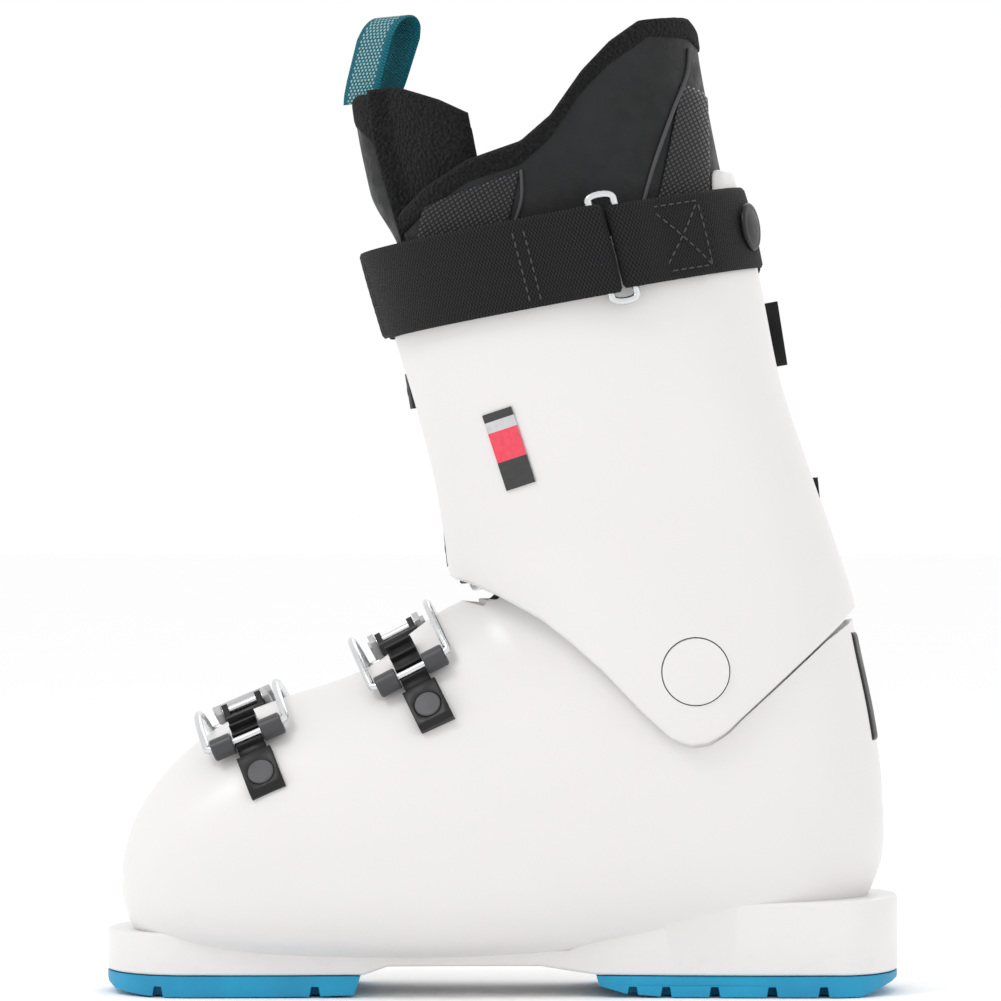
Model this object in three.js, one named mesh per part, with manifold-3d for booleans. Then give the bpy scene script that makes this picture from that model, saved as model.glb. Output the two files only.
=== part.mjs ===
// An alpine ski boot for the right foot, size 22.5, in millimetres.
// +X points to the toe, +Y to the inner side of the foot and +Z up. The origin is on the ground under the sole's middle.
import * as THREE from "three";
import { mergeVertices } from "three/addons/utils/BufferGeometryUtils.js";
import Module from "manifold-3d";

const wasm = await Module();
wasm.setup();

// ---- Driving dimensions ----
const SOLE_LENGTH = 265;
const COLLAR_HEIGHT = 325;
const SOLE_HALF_WIDTH_TOE = 34.5;
const SOLE_HALF_WIDTH_WAIST = 31;
const SOLE_HALF_WIDTH_HEEL = 35;
const TOE_LUG_HEIGHT = 21;
const HEEL_LUG_HEIGHT = 32.5;
const PAD_THICKNESS = 6.9;
const PAD_GAP = 0.3;
const WAIST_CLEARANCE = 10;
const SHELL_WALL = 4.5;
const SHELL_FLOOR = 6;
const CUFF_WALL = 4;
const FLAP_GAP = 0.5;
const RUNNING_GAP = 1;
const SEAT_GAP = 0.3;
const LINER_WALL = 6;
const BOARD_THICKNESS = 5;
const LINER_SOLE = 4;
const ANKLE_HEIGHT = 107.9;
const PIVOT_CAP_RADIUS = 11;
const PIVOT_PIN_RADIUS = 3.5;
const CUFF_FLEX_DEG = 3;
const STRAP_WIDTH = 30;
const STRAP_THICKNESS = 1.6;
const LADDER_WIDTH = 12;
const LADDER_TOOTH = 2;
const TOOTH_THICKNESS = 1.8;
const RIVET_HEAD_RADIUS = 4.4;
const RIVET_SHANK_RADIUS = 2.2;
const WIRE_RADIUS = 1.3;
const SLEEVE_RADIUS = 3.7;
const SLEEVE_LENGTH = 7.5;
const LEVER_PLATE = 2.4;
const BASE_PLATE = 2;
const HINGE_PIN_RADIUS = 1.5;

// ---- Small helpers ----
const radians = THREE.MathUtils.degToRad;
const clamp = THREE.MathUtils.clamp;
const mix = THREE.MathUtils.lerp;

// The form's tables are drawn for a sole of 265 mm and a collar 325 mm high. long() and tall() set them to the boot's own
// sole and collar: places move along the boot, and heights over the ankle rise, while walls and fittings keep their sizes.
const DRAWN_SOLE = 265;
const DRAWN_COLLAR = 325;
const long = (x) => (x * SOLE_LENGTH) / DRAWN_SOLE;
function tall(z) {
  if (z <= ANKLE_HEIGHT) return z;
  return ANKLE_HEIGHT + ((z - ANKLE_HEIGHT) * (COLLAR_HEIGHT - ANKLE_HEIGHT)) / (DRAWN_COLLAR - ANKLE_HEIGHT);
}
const longLine = (line) => line.map(([x, z]) => [long(x), z]);
const tallLine = (line) => line.map(([x, z]) => [long(x), tall(z)]);
const PIVOT = { x: long(-63.3), z: ANKLE_HEIGHT };

// A three.js geometry or a list of points and triangles as a solid, turned so that its faces point out.
function solidFrom(points, triangles) {
  const flat = new Float32Array(points.flatMap((p) => [p.x, p.y, p.z]));
  const make = (order) => new wasm.Manifold(new wasm.Mesh({ numProp: 3, vertProperties: flat, triVerts: order }));
  const made = make(new Uint32Array(triangles));
  if (made.volume() > 0) return made;
  const turned = [];
  for (let i = 0; i < triangles.length; i += 3) turned.push(triangles[i], triangles[i + 2], triangles[i + 1]);
  return make(new Uint32Array(turned));
}

function solidOf(geometry) {
  const bare = new THREE.BufferGeometry().setAttribute("position", geometry.getAttribute("position"));
  if (geometry.index) bare.setIndex(geometry.index);
  const merged = mergeVertices(bare, 1e-3);
  const at = merged.getAttribute("position");
  const points = [];
  for (let i = 0; i < at.count; i++) points.push(new THREE.Vector3().fromBufferAttribute(at, i));
  const kept = [];
  const index = merged.index.array;
  for (let i = 0; i < index.length; i += 3) {
    const [a, b, c] = [index[i], index[i + 1], index[i + 2]];
    if (a !== b && b !== c && a !== c) kept.push(a, b, c);
  }
  return solidFrom(points, kept);
}

function geometryOf(solid) {
  const mesh = solid.getMesh();
  const at = new Float32Array(mesh.numVert * 3);
  for (let i = 0; i < mesh.numVert; i++) {
    const from = i * mesh.numProp;
    at.set(mesh.vertProperties.subarray(from, from + 3), i * 3);
  }
  const geometry = new THREE.BufferGeometry().setAttribute("position", new THREE.BufferAttribute(at, 3));
  return geometry.setIndex(new THREE.BufferAttribute(mesh.triVerts.slice(), 1));
}

// The solid's largest piece: booleans on thin walls can leave crumbs.
function mainPiece(solid) {
  return solid.decompose().sort((a, b) => b.volume() - a.volume())[0];
}

function placed(geometry, matrix) {
  return solidOf(geometry.clone().applyMatrix4(matrix));
}

// A cylinder from one point to another.
function rod(from, to, radius, sides = 16) {
  const axis = to.clone().sub(from);
  const turn = new THREE.Quaternion().setFromUnitVectors(new THREE.Vector3(0, 1, 0), axis.clone().normalize());
  const middle = from.clone().add(to).multiplyScalar(0.5);
  const matrix = new THREE.Matrix4().compose(middle, turn, new THREE.Vector3(1, 1, 1));
  return placed(new THREE.CylinderGeometry(radius, radius, axis.length(), sides), matrix);
}

// A closed skin over rings of points, with a fan at each end.
function loft(rings) {
  const points = [];
  const triangles = [];
  const n = rings[0].length;
  rings.forEach((ring) => points.push(...ring));
  for (let i = 0; i + 1 < rings.length; i++) {
    for (let j = 0; j < n; j++) {
      const a = i * n + j;
      const b = i * n + ((j + 1) % n);
      triangles.push(a, b, b + n, a, b + n, a + n);
    }
  }
  [0, rings.length - 1].forEach((i) => {
    const centre = rings[i].reduce((sum, p) => sum.add(p), new THREE.Vector3()).divideScalar(n);
    points.push(centre);
    for (let j = 0; j < n; j++) {
      const a = i * n + j;
      const b = i * n + ((j + 1) % n);
      triangles.push(points.length - 1, ...(i === 0 ? [b, a] : [a, b]));
    }
  });
  return solidFrom(points, triangles);
}

// A thick sheet: skin(u, v, side) gives its outer (side 0) and inner (side 1) face over a grid of columns and rows.
function slab(skin, columns, rows) {
  const points = [];
  const triangles = [];
  const at = (i, k, side) => (side * (columns + 1) + i) * (rows + 1) + k;
  for (const side of [0, 1]) {
    for (let i = 0; i <= columns; i++) for (let k = 0; k <= rows; k++) points.push(skin(i / columns, k / rows, side));
  }
  const quad = (a, b, c, d) => triangles.push(a, b, c, a, c, d);
  for (let i = 0; i < columns; i++) {
    for (let k = 0; k < rows; k++) {
      quad(at(i, k, 0), at(i + 1, k, 0), at(i + 1, k + 1, 0), at(i, k + 1, 0));
      quad(at(i, k, 1), at(i, k + 1, 1), at(i + 1, k + 1, 1), at(i + 1, k, 1));
    }
    quad(at(i, 0, 0), at(i, 0, 1), at(i + 1, 0, 1), at(i + 1, 0, 0));
    quad(at(i, rows, 0), at(i + 1, rows, 0), at(i + 1, rows, 1), at(i, rows, 1));
  }
  for (let k = 0; k < rows; k++) {
    quad(at(0, k, 0), at(0, k + 1, 0), at(0, k + 1, 1), at(0, k, 1));
    quad(at(columns, k, 0), at(columns, k, 1), at(columns, k + 1, 1), at(columns, k + 1, 0));
  }
  return solidFrom(points, triangles);
}

// A smooth value between the rows of a list, at a fractional index.
function between(rows, at) {
  const last = rows.length - 1;
  const i = clamp(Math.floor(at), 0, last - 1);
  const f = at - i;
  const [a, b, c, d] = [i - 1, i, i + 1, i + 2].map((k) => rows[clamp(k, 0, last)]);
  return b.map((_, k) => {
    const slopeIn = (c[k] - a[k]) / 2;
    const slopeOut = (d[k] - b[k]) / 2;
    const rise = c[k] - b[k];
    return b[k] + slopeIn * f + (3 * rise - 2 * slopeIn - slopeOut) * f * f + (slopeIn + slopeOut - 2 * rise) * f * f * f;
  });
}

// A straight-line value from a list of [x, y] points, in rising order of x.
function lineAt(list, x) {
  if (x <= list[0][0]) return list[0][1];
  for (let i = 1; i < list.length; i++) {
    const [x0, y0] = list[i - 1];
    const [x1, y1] = list[i];
    if (x <= x1) return mix(y0, y1, (x - x0) / (x1 - x0));
  }
  return list[list.length - 1][1];
}

const power = (value, n) => Math.sign(value) * Math.abs(value) ** (2 / n);

// ---- The foot shell's form: rings that fan from the toe, round the heel and up to the ankle ----
// Each row: instep x, z, sole x, z, half width inner, outer, height of the belly (share), roundness above, below.
const FOOT_ROWS = [
  [127.3, 40, 127.3, 33, 11, 11, 0.5, 2.2, 2.2],
  [126.3, 48, 125.6, 26, 22, 22, 0.45, 2.2, 2.4],
  [122.5, 59, 120, 18, 32, 32, 0.42, 2.2, 2.6],
  [113.5, 72.5, 106, 12.5, 40, 39, 0.4, 2.2, 2.9],
  [101, 84, 82, 10, 45, 44, 0.4, 2.2, 3.1],
  [87, 92.5, 50, 10, 48.5, 47, 0.4, 2.2, 3.2],
  [70, 99, 24, 10, 49, 48, 0.4, 2.2, 3.2],
  [53, 104.5, 0, 10, 47, 47, 0.4, 2.2, 3.1],
  [41, 110.5, -20, 10, 44.5, 45, 0.4, 2.2, 3],
  [32, 118.5, -40, 10, 42.5, 43, 0.41, 2.2, 2.8],
  [22, 126, -70, 10, 41, 41.5, 0.42, 2.2, 2.6],
  [12, 131.5, -108, 15, 40.5, 41, 0.43, 2.2, 2.4],
  [5, 137.5, -126, 40, 41, 41, 0.45, 2.3, 2.3],
  [1, 145, -127.5, 66, 41.5, 41.5, 0.47, 2.3, 2.2],
  [-1.5, 153, -124.5, 90, 42, 42, 0.48, 2.3, 2.2],
  [-4, 161, -119.5, 114, 42.5, 42.5, 0.5, 2.3, 2.2],
  [-6, 169, -114.5, 138, 43, 43, 0.5, 2.3, 2.2],
  [-8, 177, -109.5, 162, 43, 43, 0.5, 2.3, 2.2],
].map(([tx, tz, bx, bz, ...rest]) => [long(tx), tz, long(bx), bz, ...rest]);

// A point of the foot form at ring u and angle t (0 at the instep, a quarter turn at the inner side), inset by depth.
function footPoint(u, t, depth, soleDepth = depth) {
  const [tx, tz, bx, bz, inner, outer, belly, nUp, nDown] = between(FOOT_ROWS, u);
  const span = Math.hypot(tx - bx, tz - bz);
  const [wx, wz] = [(tx - bx) / span, (tz - bz) / span];
  const widest = belly * span;
  const c = Math.cos(t);
  const s = Math.sin(t);
  const n = c >= 0 ? nUp : nDown;
  const along = widest + power(c, n) * (c >= 0 ? span - widest - depth : Math.max(widest - soleDepth, 1));
  return new THREE.Vector3(bx + wx * along, power(s, n) * ((s >= 0 ? inner : outer) - depth), bz + wz * along);
}

const FOOT_SIDES = 24;
// All layers of the foot have their rings at the same rows, so that one nests in the next.
const RINGS = [0, 0.5, 1, 1.5, 2, 3, 4, 5, 6, 7, 8, 9, 10, 10.5, 11, 11.5, 12, 13, 14, 15, 16, 17];
const ringsFrom = (from, to) => RINGS.filter((u) => u >= from && u <= to);
function footForm(depth, soleDepth, fromRow, toRow) {
  const rings = [];
  for (const u of ringsFrom(fromRow, toRow)) {
    const ring = [];
    for (let j = 0; j < FOOT_SIDES; j++) ring.push(footPoint(u, (j / FOOT_SIDES) * 2 * Math.PI, depth, soleDepth));
    rings.push(ring);
  }
  return loft(rings);
}

// ---- The leg's form: level rings that lean forward, from the cuff's ears to the liner's collar ----
// Each row: front x, z, rear x, z, half width, roundness.
const LEG_ROWS = [
  [0, 80, -124, 80, 45.5, 2.2],
  [6, 108, -122, 104, 47, 2.2],
  [17, 137, -118.5, 128, 47.8, 2.2],
  [19.6, 152, -112, 149, 48.2, 2.2],
  [23, 172, -102.5, 176, 49.5, 2.2],
  [29, 195, -93.5, 203, 51, 2.2],
  [36, 218, -87.5, 232, 52, 2.2],
  [42.5, 240, -82.3, 257, 52.5, 2.2],
  [48, 262, -75.8, 279, 52, 2.2],
  [53, 285, -71.5, 302, 51, 2.2],
  [56, 306, -68, 326, 50, 2.2],
].map(([fx, fz, rx, rz, ...rest]) => [long(fx), tall(fz), long(rx), tall(rz), ...rest]);

// A point of the leg form at level h and angle t (0 in front, a quarter turn at the inner side), inset by depth.
function legPoint(h, t, depth) {
  const [fx, fz, rx, rz, half, n] = between(LEG_ROWS, h);
  const span = Math.hypot(fx - rx, fz - rz);
  const [wx, wz] = [(fx - rx) / span, (fz - rz) / span];
  const along = span / 2 + power(Math.cos(t), n) * (span / 2 - depth);
  return new THREE.Vector3(rx + wx * along, power(Math.sin(t), n) * (half - depth), rz + wz * along);
}

// The level at which the leg form, at angle t, crosses a side-view line edge(x, y) -> z.
function levelAt(t, depth, edge) {
  let low = 0;
  let high = LEG_ROWS.length - 1;
  for (let i = 0; i < 26; i++) {
    const h = (low + high) / 2;
    const p = legPoint(h, t, depth);
    if (p.z < edge(p.x, p.y)) low = h;
    else high = h;
  }
  return (low + high) / 2;
}

// ---- Edges of the cuff and the liner, as side-view lines ----
const CUFF_HEM = longLine([
  [-118, 128], [-96.6, 109], [-80, 94], [-73, 87.5], [-67, 84.2], [-61, 83.6], [-55, 86], [-46.2, 94], [-32.8, 108],
  [-22, 117.5], [-12.6, 124.8], [1, 132.2], [11, 136.5], [17, 138],
]);
const hemAt = (x) => lineAt(CUFF_HEM, x);
const INNER_FLAP_LIFT = 14;
const STRAP_MID_FRONT = { x: long(41), z: tall(232.5) };
const STRAP_SLOPE = -0.183;
const strapMidAt = (x) => STRAP_MID_FRONT.z + STRAP_SLOPE * (x - STRAP_MID_FRONT.x);
const TAB_HALF_WIDTH = 27;
const TAB_TOP = tall(274);
const TAB_FRONT = long(-30);
function cuffTopAt(x, y) {
  const base = strapMidAt(x) + 4;
  if (x > TAB_FRONT) return base;
  const side = clamp((TAB_HALF_WIDTH - Math.abs(y)) / 9, 0, 1);
  return mix(base, TAB_TOP, Math.sin((side * Math.PI) / 2));
}
const COLLAR_TOP = tallLine([
  [-68, 317], [-64.7, 321], [-60, 324.5], [-47, 325], [-34, 315], [-25, 305], [-15.3, 290.5], [-6, 282], [11, 276],
  [24.4, 267.5], [34.5, 258],
]);

// A taller leg gets more rows of facets, each at most this high.
const stepsUp = (height) => Math.ceil((COLLAR_HEIGHT - ANKLE_HEIGHT) / height);

// ---- Cuff ----
// The cuff is one sheet. It starts with the flap beneath, runs round the outer side, heel and inner side, and laps over
// itself.
const INNER_FLAP_END = radians(22);
const OUTER_FLAP_END = radians(-48);
const CUFF_SWEEP = 2 * Math.PI + INNER_FLAP_END - OUTER_FLAP_END;
// How far the sheet lies inside the leg form at each angle of its sweep (turn counts from the inner flap's end).
function cuffDepth(turn) {
  const tuck = CUFF_WALL + FLAP_GAP;
  return tuck * (1 - THREE.MathUtils.smoothstep(turn, radians(72), radians(104)));
}
const cuffSheet = slab((u, v, side) => {
  const turn = u * CUFF_SWEEP;
  const t = INNER_FLAP_END - turn;
  const depth = cuffDepth(turn) + side * CUFF_WALL;
  const lift = INNER_FLAP_LIFT * (1 - THREE.MathUtils.smoothstep(turn, radians(52), radians(70)));
  const low = levelAt(t, depth, (x) => hemAt(x) + lift);
  const high = levelAt(t, depth, cuffTopAt);
  return legPoint(mix(low, high, v), t, depth);
}, 52, stepsUp(44));

// ---- Tests of whether a point lies inside a form ----
// The ring whose plane holds the point, found between the first and the last row.
function ringOf(rows, p) {
  const side = (u) => {
    const [fx, fz, rx, rz] = between(rows, u);
    return (fx - rx) * (p.z - rz) - (fz - rz) * (p.x - rx);
  };
  let low = 0;
  let high = rows.length - 1;
  const rising = side(low) > 0;
  if (rising === side(high) > 0) return null;
  for (let i = 0; i < 30; i++) {
    const u = (low + high) / 2;
    if (side(u) > 0 === rising) low = u;
    else high = u;
  }
  return low;
}

function insideFoot(p) {
  const u = ringOf(FOOT_ROWS, p);
  if (u === null) return false;
  const [tx, tz, bx, bz, inner, outer, belly, nUp, nDown] = between(FOOT_ROWS, u);
  const span = Math.hypot(tx - bx, tz - bz);
  const along = ((p.x - bx) * (tx - bx) + (p.z - bz) * (tz - bz)) / span - belly * span;
  const n = along > 0 ? nUp : nDown;
  const c = Math.abs(along) / (span * (along > 0 ? 1 - belly : belly));
  return c ** n + (Math.abs(p.y) / (p.y > 0 ? inner : outer)) ** n < 1;
}

function insideLeg(p) {
  const h = ringOf(LEG_ROWS, p);
  if (h === null) return false;
  const [fx, fz, rx, rz, half, n] = between(LEG_ROWS, h);
  const span = Math.hypot(fx - rx, fz - rz);
  const along = ((p.x - rx) * (fx - rx) + (p.z - rz) * (fz - rz)) / span - span / 2;
  return (Math.abs(along) / (span / 2)) ** n + (Math.abs(p.y) / half) ** n < 1;
}

// How far a form reaches from a point inside it.
function reach(inside, from, direction) {
  let low = 0;
  let high = 120;
  for (let i = 0; i < 26; i++) {
    const r = (low + high) / 2;
    if (inside(from.clone().addScaledVector(direction, r))) low = r;
    else high = r;
  }
  return low;
}

// ---- A plane across the boot, with distances s along the skin and heights g over it ----
// s runs from the front or top, positive on the inner side. The skin is the widest of the band that the buckle covers.
const BAND = [-12, -6, 0, 6, 12];
const ACROSS = new THREE.Vector3(0, 1, 0);
function sectionAt(inside, centre, up) {
  const normal = new THREE.Vector3().crossVectors(ACROSS, up);
  const step = radians(2);
  const skin = [];
  for (let k = -89; k <= 89; k++) {
    const direction = up.clone().multiplyScalar(Math.cos(k * step)).addScaledVector(ACROSS, Math.sin(k * step));
    const r = Math.max(...BAND.map((n) => reach(inside, centre.clone().addScaledVector(normal, n), direction)));
    skin.push(new THREE.Vector2(r * Math.sin(k * step), r * Math.cos(k * step)));
  }
  const lengths = skin.map(() => 0);
  const top = 89;
  for (let k = top + 1; k < skin.length; k++) lengths[k] = lengths[k - 1] + skin[k].distanceTo(skin[k - 1]);
  for (let k = top - 1; k >= 0; k--) lengths[k] = lengths[k + 1] - skin[k].distanceTo(skin[k + 1]);
  const pointAt = (s) => {
    let k = lengths.findIndex((length) => length > s);
    k = clamp(k < 0 ? skin.length - 1 : k, 1, skin.length - 1);
    return skin[k - 1].clone().lerp(skin[k], (s - lengths[k - 1]) / (lengths[k] - lengths[k - 1]));
  };
  const at = (s, g) => {
    const along = pointAt(s + 2).sub(pointAt(s - 2)).normalize();
    return pointAt(s).add(new THREE.Vector2(-along.y, along.x).multiplyScalar(g));
  };
  const toSpace = new THREE.Matrix4().makeBasis(ACROSS, up, normal).setPosition(centre);
  const spot = (s, g, n = 0) => {
    const q = at(s, g);
    return new THREE.Vector3(q.x, q.y, n).applyMatrix4(toSpace);
  };
  return { at, toSpace, spot, normal };
}

// A profile of [s, g] points swept across the band, from n = from to n = to.
function swept(section, profile, from, to) {
  const shape = new THREE.Shape();
  profile.forEach(([s, g], i) => {
    const [s1, g1] = profile[(i + 1) % profile.length];
    const parts = Math.max(1, Math.round(Math.abs(s1 - s) / 12));
    for (let k = 0; k < parts; k++) {
      const q = section.at(mix(s, s1, k / parts), mix(g, g1, k / parts));
      if (i + k === 0) shape.moveTo(q.x, q.y);
      else shape.lineTo(q.x, q.y);
    }
  });
  const geometry = new THREE.ExtrudeGeometry(shape, { depth: to - from, bevelEnabled: false, steps: 1 });
  return placed(geometry.translate(0, 0, from), section.toSpace);
}

const post = (section, s, g0, g1, radius, sides) => rod(section.spot(s, g0), section.spot(s, g1), radius, sides);
const crossRod = (section, s, g, n0, n1, radius, sides) =>
  rod(section.spot(s, g, n0), section.spot(s, g, n1), radius, sides);

// ---- Buckles ----
const WIRE_SEAT = SEAT_GAP + WIRE_RADIUS;
const LADDER_PLATE = 2.8;
// The bail drops between two teeth with this much play.
const BAR_PLAY = 0.8;
const TOOTH_RUN = 2 * WIRE_RADIUS + BAR_PLAY;
const LADDER_PITCH = TOOTH_RUN + TOOTH_THICKNESS;
const BAR_GAP = 1.2;
const LID_SETBACK = 4;
const PIN_HEIGHT = 5;
const EAR_INNER = 5;
const EAR_OUTER = 7;
const FLANGE_INNER = EAR_OUTER + 0.4;
const FLANGE_OUTER = FLANGE_INNER + 2;
const BAIL_REACH = 9;
const SLEEVE_INNER = 5;
const SLEEVE_OUTER = SLEEVE_INNER + SLEEVE_LENGTH;
const WIRE_OFFSET = SLEEVE_OUTER + SEAT_GAP + WIRE_RADIUS;
const LADDER_TOOTH_HALF = SLEEVE_INNER - SEAT_GAP;

function ladderAt(section, start, length, plate, skin) {
  const teeth = Math.floor((length - plate) / LADDER_PITCH);
  const profile = [[start, -5], [start, 1.2], [start - 1.6, LADDER_PLATE]];
  for (let k = 0; k < teeth; k++) {
    const d = start - plate - k * LADDER_PITCH;
    profile.push([d - TOOTH_RUN, LADDER_PLATE], [d - TOOTH_RUN - 0.1, LADDER_PLATE + LADDER_TOOTH]);
    profile.push([d - TOOTH_RUN - 0.9, LADDER_PLATE + LADDER_TOOTH], [d - LADDER_PITCH + 0.1, LADDER_PLATE]);
  }
  const end = start - plate - teeth * LADDER_PITCH;
  profile.push([end, LADDER_PLATE - 0.6], [end, -5]);
  const narrow = swept(section, profile, -LADDER_TOOTH_HALF, LADDER_TOOTH_HALF);
  const wideEnd = start - plate - 0.6;
  const wide = [[start, -5], [start, 1.2], [start - 1.6, LADDER_PLATE], [wideEnd, LADDER_PLATE], [wideEnd, -5]];
  return narrow.add(swept(section, wide, -LADDER_WIDTH / 2, LADDER_WIDTH / 2)).subtract(skin);
}

// A round wire along a list of points, mitred at each point.
function wireAlong(points, radius, sides = 6) {
  const rings = points.map((p, i) => {
    const before = points[Math.max(i - 1, 0)];
    const after = points[Math.min(i + 1, points.length - 1)];
    return { p, along: after.clone().sub(before).normalize() };
  });
  let side = new THREE.Vector3(0.31, 0.17, 0.93).cross(rings[0].along).normalize();
  return loft(rings.map(({ p, along }) => {
    side = side.clone().addScaledVector(along, -side.dot(along)).normalize();
    const other = along.clone().cross(side);
    const ring = [];
    for (let j = 0; j < sides; j++) {
      const angle = (j / sides) * 2 * Math.PI;
      ring.push(p.clone().addScaledVector(side, radius * Math.cos(angle)).addScaledVector(other, radius * Math.sin(angle)));
    }
    return ring;
  }));
}

// A bail: a crossbar on the ladder, two arms over the boot and two short ends in the lever's flanges.
function bailAt(section, barS, barG, pivotS, pivotG) {
  const half = [[pivotS, pivotG, FLANGE_INNER + 0.3], [pivotS, pivotG, WIRE_OFFSET - 1]];
  const steps = 8;
  for (let k = 0; k <= steps; k++) {
    const f = k / steps;
    const lift = Math.sin(f * Math.PI) * 3.4;
    half.push([mix(pivotS, barS, f), mix(pivotG, barG, f) + lift, WIRE_OFFSET]);
  }
  half.push([barS, barG, WIRE_OFFSET - 1]);
  const whole = [...half, ...half.map(([s, g, n]) => [s, g, -n]).reverse()];
  return wireAlong(whole.map(([s, g, n]) => section.spot(s, g, n)), WIRE_RADIUS);
}

// A whole buckle, from the ladder at ladderStart to the lever's hinge pin at pinS and its tip at tipS.
function buckleAt(section, skin, plan) {
  const { ladderStart, ladderLength, plate, tooth, pinS, tipS, tipLift, wallDepth } = plan;
  const rivetS = ladderStart - plate / 2;
  const recess = post(section, rivetS, LADDER_PLATE - 1.4, LADDER_PLATE + 3, RIVET_HEAD_RADIUS + SEAT_GAP, 16);
  const bore = post(section, rivetS, -8, 6, RIVET_SHANK_RADIUS + SEAT_GAP, 10);
  const ladder = ladderAt(section, ladderStart, ladderLength, plate, skin).subtract(recess).subtract(bore);
  const head = post(section, rivetS, LADDER_PLATE - 1.1, LADDER_PLATE, RIVET_HEAD_RADIUS, 16);
  const ladderRivet = head.add(post(section, rivetS, -wallDepth, LADDER_PLATE - 1, RIVET_SHANK_RADIUS, 10));

  const barS = ladderStart - plate - tooth * LADDER_PITCH - TOOTH_RUN + WIRE_RADIUS + BAR_GAP;
  const barG = LADDER_PLATE + WIRE_SEAT;
  const pivotS = pinS - BAIL_REACH;
  const bail = bailAt(section, barS, barG, pivotS, PIN_HEIGHT);
  const sleeve = (side) => {
    const [n0, n1] = [side * SLEEVE_INNER, side * SLEEVE_OUTER];
    const bore = crossRod(section, barS, barG, n0 - side, n1 + side, WIRE_RADIUS + SEAT_GAP, 8);
    return crossRod(section, barS, barG, n0, n1, SLEEVE_RADIUS, 12).subtract(bore);
  };

  const baseStart = pinS + 6;
  const baseEnd = pinS - 14;
  const foot = [[baseStart, -5], [baseStart, 1], [baseStart - 1.2, BASE_PLATE], [baseEnd, BASE_PLATE], [baseEnd, -5]];
  const ear = [[pinS + 4, 1], [pinS + 2, PIN_HEIGHT + 2], [pinS - 2, PIN_HEIGHT + 2], [pinS - 5, 1]];
  const pinHole = crossRod(section, pinS, PIN_HEIGHT, -20, 20, HINGE_PIN_RADIUS + SEAT_GAP, 10);
  const baseRivetS = pinS - 9;
  const base = swept(section, foot, -EAR_OUTER, EAR_OUTER)
    .add(swept(section, ear, EAR_INNER, EAR_OUTER))
    .add(swept(section, ear, -EAR_OUTER, -EAR_INNER))
    .subtract(skin)
    .subtract(pinHole)
    .subtract(post(section, baseRivetS, -8, 6, RIVET_SHANK_RADIUS + SEAT_GAP, 10));
  const baseHead = post(section, baseRivetS, BASE_PLATE + 0.2, BASE_PLATE + 1.3, RIVET_HEAD_RADIUS - 0.6, 12);
  const baseRivet = baseHead.add(post(section, baseRivetS, -wallDepth, BASE_PLATE + 0.6, RIVET_SHANK_RADIUS, 10));

  const lid = PIN_HEIGHT + 2.6;
  const top = [
    [pinS - LID_SETBACK, lid], [pinS - LID_SETBACK, lid + LEVER_PLATE], [tipS + 14, lid + LEVER_PLATE],
    [tipS, tipLift + LEVER_PLATE], [tipS - 2, tipLift + 1.2], [tipS + 1, tipLift], [tipS + 16, lid],
  ];
  const flange = [
    [pinS + 3.2, PIN_HEIGHT - 1], [pinS + 2.4, PIN_HEIGHT + 2.4], [pinS - LID_SETBACK - 0.5, lid + 0.5],
    [tipS + 20, lid + 0.5], [tipS + 22, lid - 1.2], [pivotS - 3, PIN_HEIGHT - 2.2], [pinS, PIN_HEIGHT - 2.6],
  ];
  const bailHole = crossRod(section, pivotS, PIN_HEIGHT, -20, 20, WIRE_RADIUS + SEAT_GAP, 8);
  const lever = swept(section, top, -plan.leverWidth / 2, plan.leverWidth / 2)
    .add(swept(section, flange, FLANGE_INNER, FLANGE_OUTER))
    .add(swept(section, flange, -FLANGE_OUTER, -FLANGE_INNER))
    .subtract(pinHole)
    .subtract(bailHole);
  const pin = crossRod(section, pinS, PIN_HEIGHT, -FLANGE_OUTER, FLANGE_OUTER, HINGE_PIN_RADIUS, 10);
  return {
    section,
    ladder,
    ladderRivet,
    base,
    baseRivet,
    lever,
    pin,
    bail,
    sleeves: [sleeve(1), sleeve(-1)],
    holes: [bore, post(section, baseRivetS, -12, 6, RIVET_SHANK_RADIUS + SEAT_GAP, 10)],
    pinSpot: section.spot(pinS, PIN_HEIGHT),
    pivotSpot: section.spot(pivotS, PIN_HEIGHT),
  };
}

const tilted = (degrees) => new THREE.Vector3(Math.sin(radians(degrees)), 0, Math.cos(radians(degrees)));
const level = (degrees) => new THREE.Vector3(Math.cos(radians(degrees)), 0, -Math.sin(radians(degrees)));
const toeSection = sectionAt(insideFoot, new THREE.Vector3(long(66), 0, 43), tilted(23));
const instepSection = sectionAt(insideFoot, new THREE.Vector3(long(9), 0, 66), tilted(27));
const lowerSection = sectionAt(insideLeg, new THREE.Vector3(long(-42), 0, tall(154)), level(6));
const upperSection = sectionAt(insideLeg, new THREE.Vector3(long(-25), 0, tall(210)), level(9));

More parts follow.
